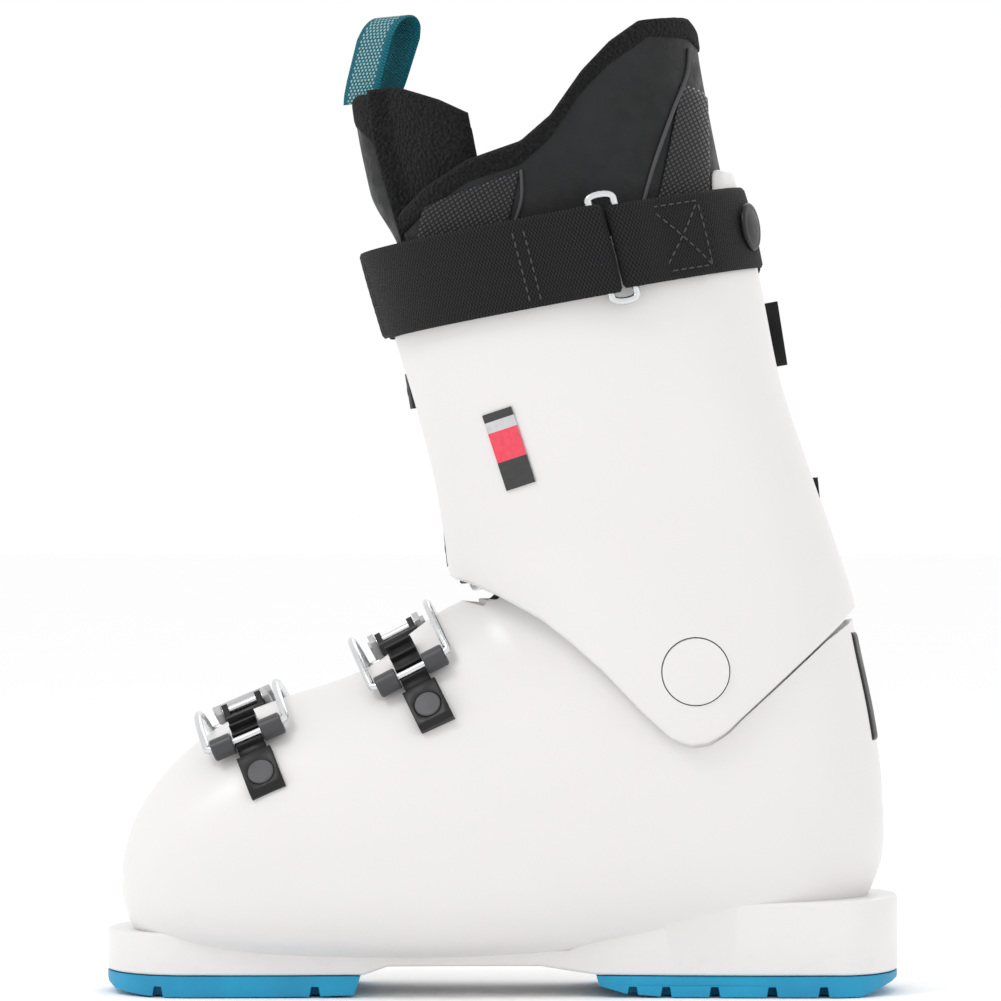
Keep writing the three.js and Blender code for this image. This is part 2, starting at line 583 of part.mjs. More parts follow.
const footSkin = footForm(-SEAT_GAP, -SEAT_GAP, 0, 17);
const legSkin = loft(Array.from({ length: 21 }, (_, i) => {
  const ring = [];
  for (let j = 0; j < 48; j++) ring.push(legPoint(0.6 + i * 0.42, (j / 48) * 2 * Math.PI, -SEAT_GAP));
  return ring;
}));
const footPlan = { ladderLength: 36, plate: 14.5, tooth: 1, tipLift: 8.2, leverWidth: 21, wallDepth: SHELL_WALL - SEAT_GAP };
const cuffPlan = { ladderLength: 27, plate: 11, tooth: 1, tipLift: 11, leverWidth: 22, wallDepth: CUFF_WALL - 0.2 };
const buckles = {
  toe: buckleAt(toeSection, footSkin, { ...footPlan, ladderStart: 54, pinS: -16, tipS: -62 }),
  instep: buckleAt(instepSection, footSkin, { ...footPlan, ladderStart: 52, pinS: -15, tipS: -58 }),
  lower_cuff: buckleAt(lowerSection, legSkin, { ...cuffPlan, ladderStart: -15, pinS: -78, tipS: -150 }),
  upper_cuff: buckleAt(upperSection, legSkin, { ...cuffPlan, ladderStart: -17, pinS: -80, tipS: -156 }),
};

// ---- Lower shell ----
const boxOf = (x0, x1, y0, y1, z0, z1) => {
  const geometry = new THREE.BoxGeometry(x1 - x0, y1 - y0, z1 - z0);
  return solidOf(geometry.translate((x0 + x1) / 2, (y0 + y1) / 2, (z0 + z1) / 2));
};
function extruded(points, matrix, depth, curveSegments = 6) {
  const shape = points instanceof THREE.Shape ? points : new THREE.Shape(points.map(([x, y]) => new THREE.Vector2(x, y)));
  return placed(new THREE.ExtrudeGeometry(shape, { depth, bevelEnabled: false, steps: 1, curveSegments }), matrix);
}
// Side-view outlines (x, z) are pushed out across the boot; plan outlines (x, y) are pushed up.
const sideways = (halfWidth) => new THREE.Matrix4().makeBasis(
  new THREE.Vector3(1, 0, 0), new THREE.Vector3(0, 0, 1), new THREE.Vector3(0, -1, 0),
).setPosition(0, halfWidth, 0);
const upwards = new THREE.Matrix4();

const HALF_SOLE = SOLE_LENGTH / 2;
const PAD_TOP = PAD_THICKNESS;
const SHELL_SOLE = PAD_THICKNESS + PAD_GAP;
const TOE_PAD_END = long(42);
const HEEL_PAD_END = long(-31);
function solePlan() {
  const toe = SOLE_HALF_WIDTH_TOE;
  const heel = SOLE_HALF_WIDTH_HEEL;
  const waist = SOLE_HALF_WIDTH_WAIST;
  const shape = new THREE.Shape();
  const front = HALF_SOLE;
  shape.moveTo(front - toe, -toe);
  shape.absellipse(front - toe * 0.82, 0, toe * 0.82, toe, -Math.PI / 2, Math.PI / 2, false, 0);
  shape.bezierCurveTo(long(70), toe, long(60), waist + 2, long(10), waist);
  shape.bezierCurveTo(long(-30), waist - 1, long(-50), heel, -HALF_SOLE + heel, heel);
  shape.absellipse(-HALF_SOLE + heel * 0.62, 0, heel * 0.62, heel, Math.PI / 2, Math.PI * 1.5, false, 0);
  shape.bezierCurveTo(long(-50), -heel, long(-30), -waist + 1, long(10), -waist);
  shape.bezierCurveTo(long(60), -waist - 2, long(70), -toe, front - toe * 0.82, -toe);
  return shape;
}
const soleProfile = [
  [-HALF_SOLE - 5, SHELL_SOLE], [HEEL_PAD_END - 1, SHELL_SOLE], [HEEL_PAD_END + 9, SHELL_SOLE + 1.4],
  [HEEL_PAD_END + 18, WAIST_CLEARANCE], [TOE_PAD_END - 4, WAIST_CLEARANCE], [TOE_PAD_END + 4, SHELL_SOLE],
  [HALF_SOLE + 5, SHELL_SOLE], [HALF_SOLE + 5, TOE_LUG_HEIGHT], [long(96), TOE_LUG_HEIGHT + 1], [long(74), 17],
  [long(-22), 16], [long(-46), HEEL_LUG_HEIGHT - 2], [-HALF_SOLE - 5, HEEL_LUG_HEIGHT],
];
const solePart = extruded(solePlan(), upwards, 45).intersect(extruded(soleProfile, sideways(60), 120));

// The shell's back wall steps inwards above the hem, to leave the flexing cuff its room.
const BACK_DEPTH = [[0, SHELL_FLOOR], [11, SHELL_FLOOR], [12.6, SHELL_WALL], [14.4, SHELL_WALL], [16, 12.5], [17, 15]];
function footCavity(extra, floorExtra, from, to) {
  const rings = [];
  for (const u of ringsFrom(from, to)) {
    const ring = [];
    const back = lineAt(BACK_DEPTH, u) + (u < 12 ? floorExtra : extra);
    for (let j = 0; j < FOOT_SIDES; j++) ring.push(footPoint(u, (j / FOOT_SIDES) * 2 * Math.PI, SHELL_WALL + extra, back));
    rings.push(ring);
  }
  return loft(rings);
}
const SHELL_TOP = longLine([[-150, 142], [-60, 150], [-8, 150], [40, 158], [40, 260], [-150, 260]]);
const THROAT = longLine([[-20, 170], [-14, 142], [2, 131], [40, 131], [40, 170]]);
function cuffRoom(turn) {
  const room = slab((u, v, side) => {
    const t = -2 * Math.PI * u * 0.9999;
    const tuck = cuffDepth((INNER_FLAP_END - t) % (2 * Math.PI));
    const depth = side ? CUFF_WALL + RUNNING_GAP + tuck : -14;
    const low = levelAt(t, depth, (x) => hemAt(x) - RUNNING_GAP - 0.4);
    return legPoint(mix(low, 6, v), t, depth);
  }, 44, 3);
  if (!turn) return room;
  const about = new THREE.Matrix4().makeTranslation(-PIVOT.x, 0, -PIVOT.z);
  about.premultiply(new THREE.Matrix4().makeRotationY(radians(turn)));
  about.premultiply(new THREE.Matrix4().makeTranslation(PIVOT.x, 0, PIVOT.z));
  return placed(geometryOf(room), about);
}
const acrossRod = (y0, y1, radius, sides) =>
  rod(new THREE.Vector3(PIVOT.x, y0, PIVOT.z), new THREE.Vector3(PIVOT.x, y1, PIVOT.z), radius, sides);

// The plate on the heel's spine lies in a shallow bed of its own outline.
const PLATE = { from: long(-80), halfWidth: 14, low: 84, high: 120, thickness: 1.4, proud: 0.2 };
function spineSlab(grow, out, into) {
  return slab((u, v, side) => {
    const y = mix(-1, 1, u) * (PLATE.halfWidth + grow);
    const z = mix(PLATE.low - grow, PLATE.high + grow, v);
    const x = PLATE.from - reach(insideFoot, new THREE.Vector3(PLATE.from, y, z), new THREE.Vector3(-1, 0, 0));
    return new THREE.Vector3(x + (side ? into : -out), y, z);
  }, 8, 4);
}
const spinePlate = spineSlab(0, PLATE.proud, PLATE.thickness - PLATE.proud);
const plateBed = spineSlab(SEAT_GAP, 8, PLATE.thickness - PLATE.proud + SEAT_GAP);

let lowerShell = footForm(0, 0, 0, 17)
  .add(solePart)
  .subtract(footCavity(0, 0, 0.5, 17))
  .subtract(extruded(SHELL_TOP, sideways(80), 160))
  .subtract(extruded(THROAT, sideways(24), 48))
  .subtract(acrossRod(-60, 60, PIVOT_PIN_RADIUS + SEAT_GAP, 16))
  .subtract(plateBed);
for (const turn of [0, CUFF_FLEX_DEG / 2, CUFF_FLEX_DEG]) lowerShell = lowerShell.subtract(cuffRoom(turn));
for (const hole of [...buckles.toe.holes, ...buckles.instep.holes]) lowerShell = lowerShell.subtract(hole);

// ---- Sole pads ----
// The tread is a row of notches in each side of a pad, from y = inner outwards.
const NOTCH = { run: 4, height: 3.4, inner: 26 };
function padOf(x0, x1, end, tread) {
  const profile = [[x0, PAD_TOP], [x1, PAD_TOP], ...end];
  let pad = extruded(solePlan(), upwards, PAD_TOP).intersect(extruded(profile, sideways(60), 120));
  tread.forEach((from) => {
    const notch = [[from, -1], [from + NOTCH.run, -1], [from + NOTCH.run - 0.8, NOTCH.height], [from + 0.8, NOTCH.height]];
    pad = pad.subtract(extruded(notch, sideways(60), 60 - NOTCH.inner));
    pad = pad.subtract(extruded(notch, sideways(-NOTCH.inner), 60 - NOTCH.inner));
  });
  return pad;
}
const toePad = padOf(
  TOE_PAD_END + 5, HALF_SOLE,
  [
    [HALF_SOLE, 4], [HALF_SOLE - 3.5, 1.6], [HALF_SOLE - 12, 0.5], [HALF_SOLE - 20, 0], [TOE_PAD_END + 26, 0],
    [TOE_PAD_END + 7, 0.6],
  ],
  [60, 112].map(long),
);
const heelPad = padOf(
  -HALF_SOLE, HEEL_PAD_END,
  [[HEEL_PAD_END - 1, 3.6], [HEEL_PAD_END - 10, 1], [HEEL_PAD_END - 24, 0], [-HALF_SOLE + 14, 0], [-HALF_SOLE, 5]],
  [-45, -56, -72, -91, -108].map(long),
);

// ---- Inside the shell ----
const bootBoard = footCavity(SEAT_GAP, SEAT_GAP, 2, 11.5)
  .subtract(footCavity(-6, SEAT_GAP + BOARD_THICKNESS, 0.5, 13))
  .intersect(boxOf(-HALF_SOLE - 8, HALF_SOLE + 8, -60, 60, 0, 34));
const linerFloor = BOARD_THICKNESS + 3 * SEAT_GAP;
const LINER_GAP = 0.5;
// The liner's foot ends at this side-view line, and its shaft starts a flexing gap above it.
const LINER_SPLIT = longLine([[-150, 154], [-60, 164], [60, 182]]);
const SPLIT_GAP = 6.6;
const linerFoot = footCavity(LINER_GAP, linerFloor, 1, 17)
  .subtract(footCavity(LINER_GAP + LINER_WALL, linerFloor + LINER_SOLE, 2, 17))
  .subtract(extruded([...LINER_SPLIT, [long(60), 260], [long(-150), 260]], sideways(80), 160));

// ---- Cuff ----
const pivotHole = acrossRod(-60, 60, PIVOT_CAP_RADIUS + SEAT_GAP, 24);
let cuff = cuffSheet.subtract(pivotHole);
for (const hole of [...buckles.lower_cuff.holes, ...buckles.upper_cuff.holes]) cuff = cuff.subtract(hole);

function pivotCap(side) {
  const outside = side * reach(insideLeg, new THREE.Vector3(PIVOT.x, 0, PIVOT.z), new THREE.Vector3(0, side, 0));
  const inside = outside - side * CUFF_WALL;
  const shell = side * reach(insideFoot, new THREE.Vector3(PIVOT.x, 0, PIVOT.z), new THREE.Vector3(0, side, 0));
  return acrossRod(inside, outside - side * 0.2, PIVOT_CAP_RADIUS, 24)
    .add(acrossRod(shell - side * (SHELL_WALL - 0.2), inside + side, PIVOT_PIN_RADIUS, 16));
}

// ---- Liner shaft and tongue ----
const LINER_EDGE = 29;
const SHAFT_GAP = 1.2;
const shaftSweep = 2 * Math.PI - 2 * radians(LINER_EDGE);
// The lining keeps clear of the cuff's flap beneath, which lies deeper in front.
function linerDepth(t) {
  const turn = INNER_FLAP_END - t;
  const tuck = cuffDepth(turn > 0 ? turn : turn + 2 * Math.PI);
  const under = t > INNER_FLAP_END + 0.2 ? 0 : tuck;
  return CUFF_WALL + SHAFT_GAP + under;
}
const shaftFoot = (x) => lineAt(LINER_SPLIT, x) + SPLIT_GAP;
const collarAt = (x) => lineAt(COLLAR_TOP, x);
function shaftDepth(t, z) {
  const flare = THREE.MathUtils.smoothstep(z, tall(250), tall(285)) * 1.2;
  return linerDepth(t) - flare;
}
const linerShaft = slab((u, v, side) => {
  const t = -radians(LINER_EDGE) - u * shaftSweep;
  const wrapped = t < -Math.PI ? t + 2 * Math.PI : t;
  const base = linerDepth(wrapped);
  const low = levelAt(t, base, shaftFoot);
  const high = levelAt(t, base, collarAt);
  const h = mix(low, high, v);
  const at = legPoint(h, t, base);
  return legPoint(h, t, shaftDepth(wrapped, at.z) + side * LINER_WALL);
}, 32, stepsUp(37));

const TONGUE_EDGE = LINER_EDGE - 0.9;
const TONGUE_WALL = 12;
const TONGUE_TOP = tall(301);
const tongueDepth = (t, z) => {
  const out = THREE.MathUtils.smoothstep(z, tall(248), tall(268)) * 5;
  return CUFF_WALL * 2 + FLAP_GAP + SHAFT_GAP - out * Math.cos((t / radians(TONGUE_EDGE)) * Math.PI * 0.5);
};
const tongue = slab((u, v, side) => {
  const t = radians(TONGUE_EDGE) * (1 - 2 * u);
  const base = CUFF_WALL * 2 + FLAP_GAP + SHAFT_GAP;
  const low = levelAt(t, base, (x) => shaftFoot(x) + 1);
  const high = levelAt(t, base, (x, y) => TONGUE_TOP - 0.012 * y * y);
  const h = mix(low, high, v);
  const at = legPoint(h, t, base);
  return legPoint(h, t, tongueDepth(t, at.z) + side * TONGUE_WALL);
}, 10, 8);

// ---- Power strap: two webbing bands that meet at a steel ring on the inner side ----
const RING_S = 97;
const RING_SPAN = 8;
const STRAP_LAY = 1.5;
const LEG_RADIUS = long(57);
// A band that follows [s, g] centre points round the leg, with s in millimetres from the front.
function band(points, halfWidth, thickness) {
  const dense = [];
  points.forEach(([s, g], i) => {
    const [s0, g0] = points[Math.max(i - 1, 0)];
    const parts = Math.max(1, Math.round(Math.abs(s - s0) / 12));
    for (let k = 1; k <= parts; k++) dense.push([mix(s0, s, k / parts), mix(g0, g, k / parts)]);
  });
  const normals = dense.map((_, i) => {
    const [s0, g0] = dense[Math.max(i - 1, 0)];
    const [s1, g1] = dense[Math.min(i + 1, dense.length - 1)];
    const length = Math.hypot(s1 - s0, g1 - g0);
    return [-(g1 - g0) / length, (s1 - s0) / length];
  });
  const count = dense.length - 1;
  return slab((u, v, side) => {
    const i = Math.round(u * count);
    const shift = (side ? -0.5 : 0.5) * thickness;
    const s = dense[i][0] + normals[i][0] * shift;
    const g = dense[i][1] + normals[i][1] * shift;
    const t = s / LEG_RADIUS;
    const h = levelAt(t, 0, (x) => strapMidAt(x) + (v * 2 - 1) * halfWidth);
    return legPoint(h, t, -g);
  }, count, 2);
}
// The fold of a band round one bar of the ring: s grows or falls by direction.
function foldRound(barS, direction, low, high) {
  const middle = (low + high) / 2;
  const radius = (high - low) / 2;
  const points = [];
  for (let k = 0; k <= 5; k++) {
    const angle = -Math.PI / 2 + (k / 5) * Math.PI;
    points.push([barS + direction * radius * Math.cos(angle), middle + radius * Math.sin(angle)]);
  }
  return points;
}
const FOLD_LOW = STRAP_LAY;
const FOLD_HIGH = STRAP_LAY + 2 * (WIRE_RADIUS + SEAT_GAP + STRAP_THICKNESS / 2);
const STACKED = STRAP_LAY + STRAP_THICKNESS + 0.3;
const REAR_S = LEG_RADIUS * Math.PI;
const strapMain = band([
  [-REAR_S + 9, STRAP_LAY], [RING_S - 6, FOLD_LOW], ...foldRound(RING_S, 1, FOLD_LOW, FOLD_HIGH),
  [RING_S - 4, FOLD_HIGH - 0.4], [RING_S - 12, STACKED], [6, STACKED],
], STRAP_WIDTH / 2, STRAP_THICKNESS);
const anchorBar = RING_S + RING_SPAN;
const strapAnchor = band([
  [REAR_S - 9, STRAP_LAY], [anchorBar + 6, FOLD_LOW], ...foldRound(anchorBar, -1, FOLD_LOW, FOLD_HIGH),
  [anchorBar + 4, FOLD_HIGH - 0.4], [anchorBar + 12, STACKED], [anchorBar + 28, STACKED],
], STRAP_WIDTH / 2 - 1, STRAP_THICKNESS);
const ringG = (FOLD_LOW + FOLD_HIGH) / 2;
function ringSpot(s, lift) {
  const t = s / LEG_RADIUS;
  return legPoint(levelAt(t, 0, (x) => strapMidAt(x) + lift), t, -ringG);
}
function strapRing() {
  const half = STRAP_WIDTH / 2 + 2.4;
  const middle = RING_S + RING_SPAN / 2;
  const spots = [];
  for (let k = 0; k <= 6; k++) {
    const angle = (k / 6) * Math.PI;
    spots.push([middle + (RING_SPAN / 2) * Math.cos(angle), half + (RING_SPAN / 4) * Math.sin(angle) - 1]);
  }
  const loop = [...spots, ...spots.map(([s, lift]) => [2 * middle - s, -lift])].map(([s, lift]) => ringSpot(s, lift));
  const start = loop[0].clone().lerp(loop[loop.length - 1], 0.5);
  const first = wireAlong([start, ...loop.slice(0, 8)], WIRE_RADIUS);
  const second = wireAlong([loop[7], ...loop.slice(7), start], WIRE_RADIUS);
  return first.add(second);
}

// ---- Strap rivets ----
const STRAP_RIVETS = { inner: REAR_S - 20, outer: -REAR_S + 20 };
const STRAP_RIVET_RADIUS = 8;
function strapPost(s, g0, g1, radius, sides) {
  const t = s / LEG_RADIUS;
  const h = levelAt(t, 0, strapMidAt);
  return rod(legPoint(h, t, -g0), legPoint(h, t, -g1), radius, sides);
}
const strapBore = (s) => strapPost(s, -6, 8, RIVET_SHANK_RADIUS + SEAT_GAP, 16);
const strapTop = STRAP_LAY + STRAP_THICKNESS / 2;
const strapRivet = (s) => strapPost(s, strapTop + 0.6, strapTop + 2.2, STRAP_RIVET_RADIUS, 18)
  .add(strapPost(s, -CUFF_WALL + 0.2, strapTop + 1, RIVET_SHANK_RADIUS, 16));
for (const s of Object.values(STRAP_RIVETS)) cuff = cuff.subtract(strapBore(s));

// ---- Pull loop of webbing on the tongue ----
const LOOP = { x: long(44), y: 0, turn: 42, width: 18, thickness: 1.4, span: 11, top: TONGUE_TOP + 25 };
const loopAway = new THREE.Vector3(Math.cos(radians(LOOP.turn)), Math.sin(radians(LOOP.turn)), 0);
const loopWide = new THREE.Vector3(-loopAway.y, loopAway.x, 0);
function pullLoop() {
  const foot = TONGUE_TOP + 1.4;
  const half = LOOP.span / 2;
  const centres = [[half - 1.5, foot], [half, foot + 8], [half + 0.6, LOOP.top - half - 1.5]];
  for (let k = 1; k < 8; k++) {
    const angle = (k / 8) * Math.PI;
    centres.push([half * Math.cos(angle), LOOP.top - half + half * Math.sin(angle)]);
  }
  centres.push([-half - 0.6, LOOP.top - half - 1.5], [-half, foot + 8], [-half + 1.5, foot]);
  const lean = (z) => -0.3 * (z - foot);
  const last = centres.length - 1;
  return slab((u, v, side) => {
    const i = Math.round(u * last);
    const [a0, z0] = centres[Math.max(i - 1, 0)];
    const [a1, z1] = centres[Math.min(i + 1, last)];
    const length = Math.hypot(a1 - a0, z1 - z0);
    const shift = (side ? -0.5 : 0.5) * LOOP.thickness;
    const a = centres[i][0] - ((z1 - z0) / length) * -shift;
    const z = centres[i][1] - ((a1 - a0) / length) * shift;
    const p = new THREE.Vector3(LOOP.x + lean(z), LOOP.y, Math.max(z, foot));
    return p.addScaledVector(loopAway, a).addScaledVector(loopWide, mix(-0.5, 0.5, v) * LOOP.width);
  }, last, 1);
}

// ---- Label on the cuff's inner side ----
const LABEL = { x: long(-2), z: tall(181), width: 10, height: 26, lean: 18, thickness: 0.5 };
const cuffLabel = slab((u, v, side) => {
  const [a, b] = [(u - 0.5) * LABEL.width, (v - 0.5) * LABEL.height];
  const [c, s] = [Math.cos(radians(LABEL.lean)), Math.sin(radians(LABEL.lean))];
  const x = LABEL.x + a * c + b * s;
  const z = LABEL.z - a * s + b * c;
  const y = reach(insideLeg, new THREE.Vector3(x, 0, z), ACROSS);
  return new THREE.Vector3(x, y + SEAT_GAP + (side ? 0 : LABEL.thickness), z);
}, 4, 6);

// ---- The boot ----
const looks = {
  shell: { color: 0xf0eeea, roughness: 0.32, metalness: 0 },
  rubber: { color: 0x00a5cd, roughness: 0.6, metalness: 0 },
  black: { color: 0x161618, roughness: 0.55, metalness: 0 },
  grey: { color: 0x4a4c4e, roughness: 0.45, metalness: 0 },
  lever: { color: 0xb9bbbd, roughness: 0.4, metalness: 0.1 },
  steel: { color: 0xc9ccce, roughness: 0.25, metalness: 1 },
  textile: { color: 0x141416, roughness: 0.9, metalness: 0 },
  lining: { color: 0x1b1c1e, roughness: 0.95, metalness: 0 },
  teal: { color: 0x006e7d, roughness: 0.8, metalness: 0 },
  foam: { color: 0x6a6c6e, roughness: 0.9, metalness: 0 },
  label: { color: 0xd8344a, roughness: 0.4, metalness: 0 },
};
const boot = new THREE.Group();
const shellBody = new THREE.Group();
const cuffBody = new THREE.Group();
boot.add(shellBody, cuffBody);
function addTo(group, name, solid, look) {
  const mesh = new THREE.Mesh(geometryOf(mainPiece(solid)), new THREE.MeshStandardMaterial(looks[look]));
  mesh.name = name;
  group.add(mesh);
}
addTo(shellBody, "lower_shell", lowerShell, "shell");
addTo(shellBody, "toe_sole_pad", toePad, "rubber");
addTo(shellBody, "heel_sole_pad", heelPad, "rubber");
addTo(shellBody, "boot_board", bootBoard, "foam");
addTo(shellBody, "spine_plate", spinePlate, "black");
addTo(shellBody, "pivot_cap_inner", pivotCap(1), "shell");
addTo(shellBody, "pivot_cap_outer", pivotCap(-1), "shell");
addTo(shellBody, "liner_foot", linerFoot, "lining");
addTo(cuffBody, "cuff", cuff, "shell");
addTo(cuffBody, "liner_shaft", linerShaft, "lining");
addTo(cuffBody, "tongue", tongue, "lining");
addTo(cuffBody, "pull_loop", pullLoop(), "teal");
addTo(cuffBody, "strap_main", strapMain.subtract(strapBore(STRAP_RIVETS.outer)), "textile");
addTo(cuffBody, "strap_anchor", strapAnchor.subtract(strapBore(STRAP_RIVETS.inner)), "textile");
addTo(cuffBody, "strap_ring", strapRing(), "steel");
addTo(cuffBody, "strap_rivet_inner", strapRivet(STRAP_RIVETS.inner), "black");
addTo(cuffBody, "strap_rivet_outer", strapRivet(STRAP_RIVETS.outer), "black");
addTo(cuffBody, "cuff_label", cuffLabel, "label");
for (const [name, buckle] of Object.entries(buckles)) {
  const group = name.endsWith("cuff") ? cuffBody : shellBody;
  addTo(group, `${name}_ladder`, buckle.ladder, "black");
  addTo(group, `${name}_ladder_rivet`, buckle.ladderRivet, "grey");
  addTo(group, `${name}_buckle_base`, buckle.base, "black");
  addTo(group, `${name}_base_rivet`, buckle.baseRivet, "grey");
  addTo(group, `${name}_lever`, buckle.lever, name.endsWith("cuff") ? "black" : "lever");
  addTo(group, `${name}_hinge_pin`, buckle.pin, "steel");
  addTo(group, `${name}_bail`, buckle.bail, "steel");
  addTo(group, `${name}_bail_sleeve_front`, buckle.sleeves[0], "grey");
  addTo(group, `${name}_bail_sleeve_rear`, buckle.sleeves[1], "grey");
}
export default boot;
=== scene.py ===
import math

import bpy
import numpy as np
from mathutils import Matrix, Vector


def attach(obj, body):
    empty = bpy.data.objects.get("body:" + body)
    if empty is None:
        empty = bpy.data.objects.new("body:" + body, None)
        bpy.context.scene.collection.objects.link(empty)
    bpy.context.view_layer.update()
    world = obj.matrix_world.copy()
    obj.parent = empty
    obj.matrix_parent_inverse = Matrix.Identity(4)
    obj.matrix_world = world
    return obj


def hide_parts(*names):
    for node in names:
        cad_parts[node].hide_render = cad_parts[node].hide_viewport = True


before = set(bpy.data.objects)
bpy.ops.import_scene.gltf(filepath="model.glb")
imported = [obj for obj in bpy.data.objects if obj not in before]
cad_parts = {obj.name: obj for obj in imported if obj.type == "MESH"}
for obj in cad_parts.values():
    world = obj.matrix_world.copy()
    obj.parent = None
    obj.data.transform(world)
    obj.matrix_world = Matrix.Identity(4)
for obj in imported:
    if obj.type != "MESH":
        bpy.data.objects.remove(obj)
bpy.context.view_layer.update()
MM = 0.001

# ---- Sizes of the boot, in millimetres ----
HALF_SOLE = 132.5
SHELL_WALL = 4.5
CUFF_WALL = 4.0
FLAP_GAP = 0.5
RUNNING_GAP = 1.0
SHAFT_GAP = 1.2
LINER_WALL = 6.0
PIVOT = (-63.3, 107.9)
PIVOT_CAP = 11.0
STRAP_WIDTH = 30.0
TAB_WIDTH = 28.0
STRAP_THICKNESS = 1.6
STRAP_LAY = 1.5
WIRE = 1.3
LEG_RADIUS = 57.0
RING_S = 97.5
RING_SPAN = 6.9
RAD = math.radians
# The cuff's inner flap ends here, its flaps overlap this far, and it lies deeper, with a higher hem, under the lap.
FLAP_END = RAD(22)
FLAP_LAP = RAD(48)
FLAP_TUCK = (RAD(72), RAD(104))
HEM_TUCK = (RAD(52), RAD(70))
HEM_LIFT = 14
CUFF_TURNS = (0, 1.5, 3)

# Instep x, z, sole x, z, half width inner, outer, belly's height, roundness above, below.
FOOT_ROWS = np.array([
    [127.3, 40, 127.3, 33, 11, 11, 0.5, 2.2, 2.2],
    [126.3, 48, 125.6, 26, 22, 22, 0.45, 2.2, 2.4],
    [122.5, 59, 120, 18, 32, 32, 0.42, 2.2, 2.6],
    [113.5, 72.5, 106, 12.5, 40, 39, 0.4, 2.2, 2.9],
    [101, 84, 82, 10, 45, 44, 0.4, 2.2, 3.1],
    [87, 92.5, 50, 10, 48.5, 47, 0.4, 2.2, 3.2],
    [70, 99, 24, 10, 49, 48, 0.4, 2.2, 3.2],
    [53, 104.5, 0, 10, 47, 47, 0.4, 2.2, 3.1],
    [41, 110.5, -20, 10, 44.5, 45, 0.4, 2.2, 3],
    [32, 118.5, -40, 10, 42.5, 43, 0.41, 2.2, 2.8],
    [22, 126, -70, 10, 41, 41.5, 0.42, 2.2, 2.6],
    [12, 131.5, -108, 15, 40.5, 41, 0.43, 2.2, 2.4],
    [5, 137.5, -126, 40, 41, 41, 0.45, 2.3, 2.3],
    [1, 145, -127.5, 66, 41.5, 41.5, 0.47, 2.3, 2.2],
    [-1.5, 153, -124.5, 90, 42, 42, 0.48, 2.3, 2.2],
    [-4, 161, -119.5, 114, 42.5, 42.5, 0.5, 2.3, 2.2],
    [-6, 169, -114.5, 138, 43, 43, 0.5, 2.3, 2.2],
    [-8, 177, -109.5, 162, 43, 43, 0.5, 2.3, 2.2],
])
# How deep the sole is inside, along the foot's rows.
SOLE_DEPTHS = [(0, 6), (11, 6), (12.6, 4.5), (14.4, 4.5), (16, 12.5), (17, 15)]
# Front x, z, rear x, z, half width, roundness.
LEG_ROWS = np.array([
    [0, 80, -124, 80, 45.5, 2.2],
    [6, 108, -122, 104, 47, 2.2],
    [17, 137, -118.5, 128, 47.8, 2.2],
    [19.6, 152, -112, 149, 48.2, 2.2],
    [23, 172, -102.5, 176, 49.5, 2.2],
    [29, 195, -93.5, 203, 51, 2.2],
    [36, 218, -87.5, 232, 52, 2.2],
    [42.5, 240, -82.3, 257, 52.5, 2.2],
    [48, 262, -75.8, 279, 52, 2.2],
    [53, 285, -71.5, 302, 51, 2.2],
    [56, 306, -68, 326, 50, 2.2],
])
CUFF_HEM = [
    (-118, 128), (-96.6, 109), (-80, 94), (-73, 87.5), (-67, 84.2), (-61, 83.6), (-55, 86), (-46.2, 94),
    (-32.8, 108), (-22, 117.5), (-12.6, 124.8), (1, 132.2), (11, 136.5), (17, 138),
]
COLLAR_TOP = [
    (-68, 317), (-64.7, 321), (-60, 324.5), (-47, 325), (-34, 315), (-25, 305), (-15.3, 290.5), (-6, 282),
    (11, 276), (24.4, 267.5), (34.5, 258),
]


# ---- Curves and surfaces ----
def between(rows, at):
    """A smooth row between the rows of a table, at a fractional index."""
    at = np.asarray(at, float)
    last = len(rows) - 1
    i = np.clip(np.floor(at).astype(int), 0, last - 1)
    f = (at - i)[..., None]
    a, b, c, d = (rows[np.clip(i + k, 0, last)] for k in (-1, 0, 1, 2))
    leave, arrive, rise = (c - a) / 2, (d - b) / 2, c - b
    return b + leave * f + (3 * rise - 2 * leave - arrive) * f**2 + (leave + arrive - 2 * rise) * f**3


def line_at(points, x):
    xs, ys = zip(*points)
    return np.interp(x, xs, ys)


def smooth(x, low, high):
    f = np.clip((np.asarray(x, float) - low) / (high - low), 0, 1)
    return f * f * (3 - 2 * f)


def power(value, n):
    return np.sign(value) * np.abs(value) ** (2 / n)


def foot_point(u, t, depth, sole_depth):
    u, t = np.broadcast_arrays(np.asarray(u, float), np.asarray(t, float))
    tx, tz, bx, bz, inner, outer, belly, n_up, n_down = np.moveaxis(between(FOOT_ROWS, u), -1, 0)
    span = np.hypot(tx - bx, tz - bz)
    wx, wz = (tx - bx) / span, (tz - bz) / span
    widest = belly * span
    c, s = np.cos(t), np.sin(t)
    n = np.where(c >= 0, n_up, n_down)
    reach = np.where(c >= 0, span - widest - depth, np.maximum(widest - sole_depth, 1))
    along = widest + power(c, n) * reach
    side = power(s, n) * (np.where(s >= 0, inner, outer) - depth)
    return np.stack([bx + wx * along, side, bz + wz * along], -1)


def leg_point(h, t, depth):
    h, t, depth = np.broadcast_arrays(np.asarray(h, float), np.asarray(t, float), np.asarray(depth, float))
    fx, fz, rx, rz, half, n = np.moveaxis(between(LEG_ROWS, h), -1, 0)
    span = np.hypot(fx - rx, fz - rz)
    wx, wz = (fx - rx) / span, (fz - rz) / span
    along = span / 2 + power(np.cos(t), n) * (span / 2 - depth)
    return np.stack([rx + wx * along, power(np.sin(t), n) * (half - depth), rz + wz * along], -1)


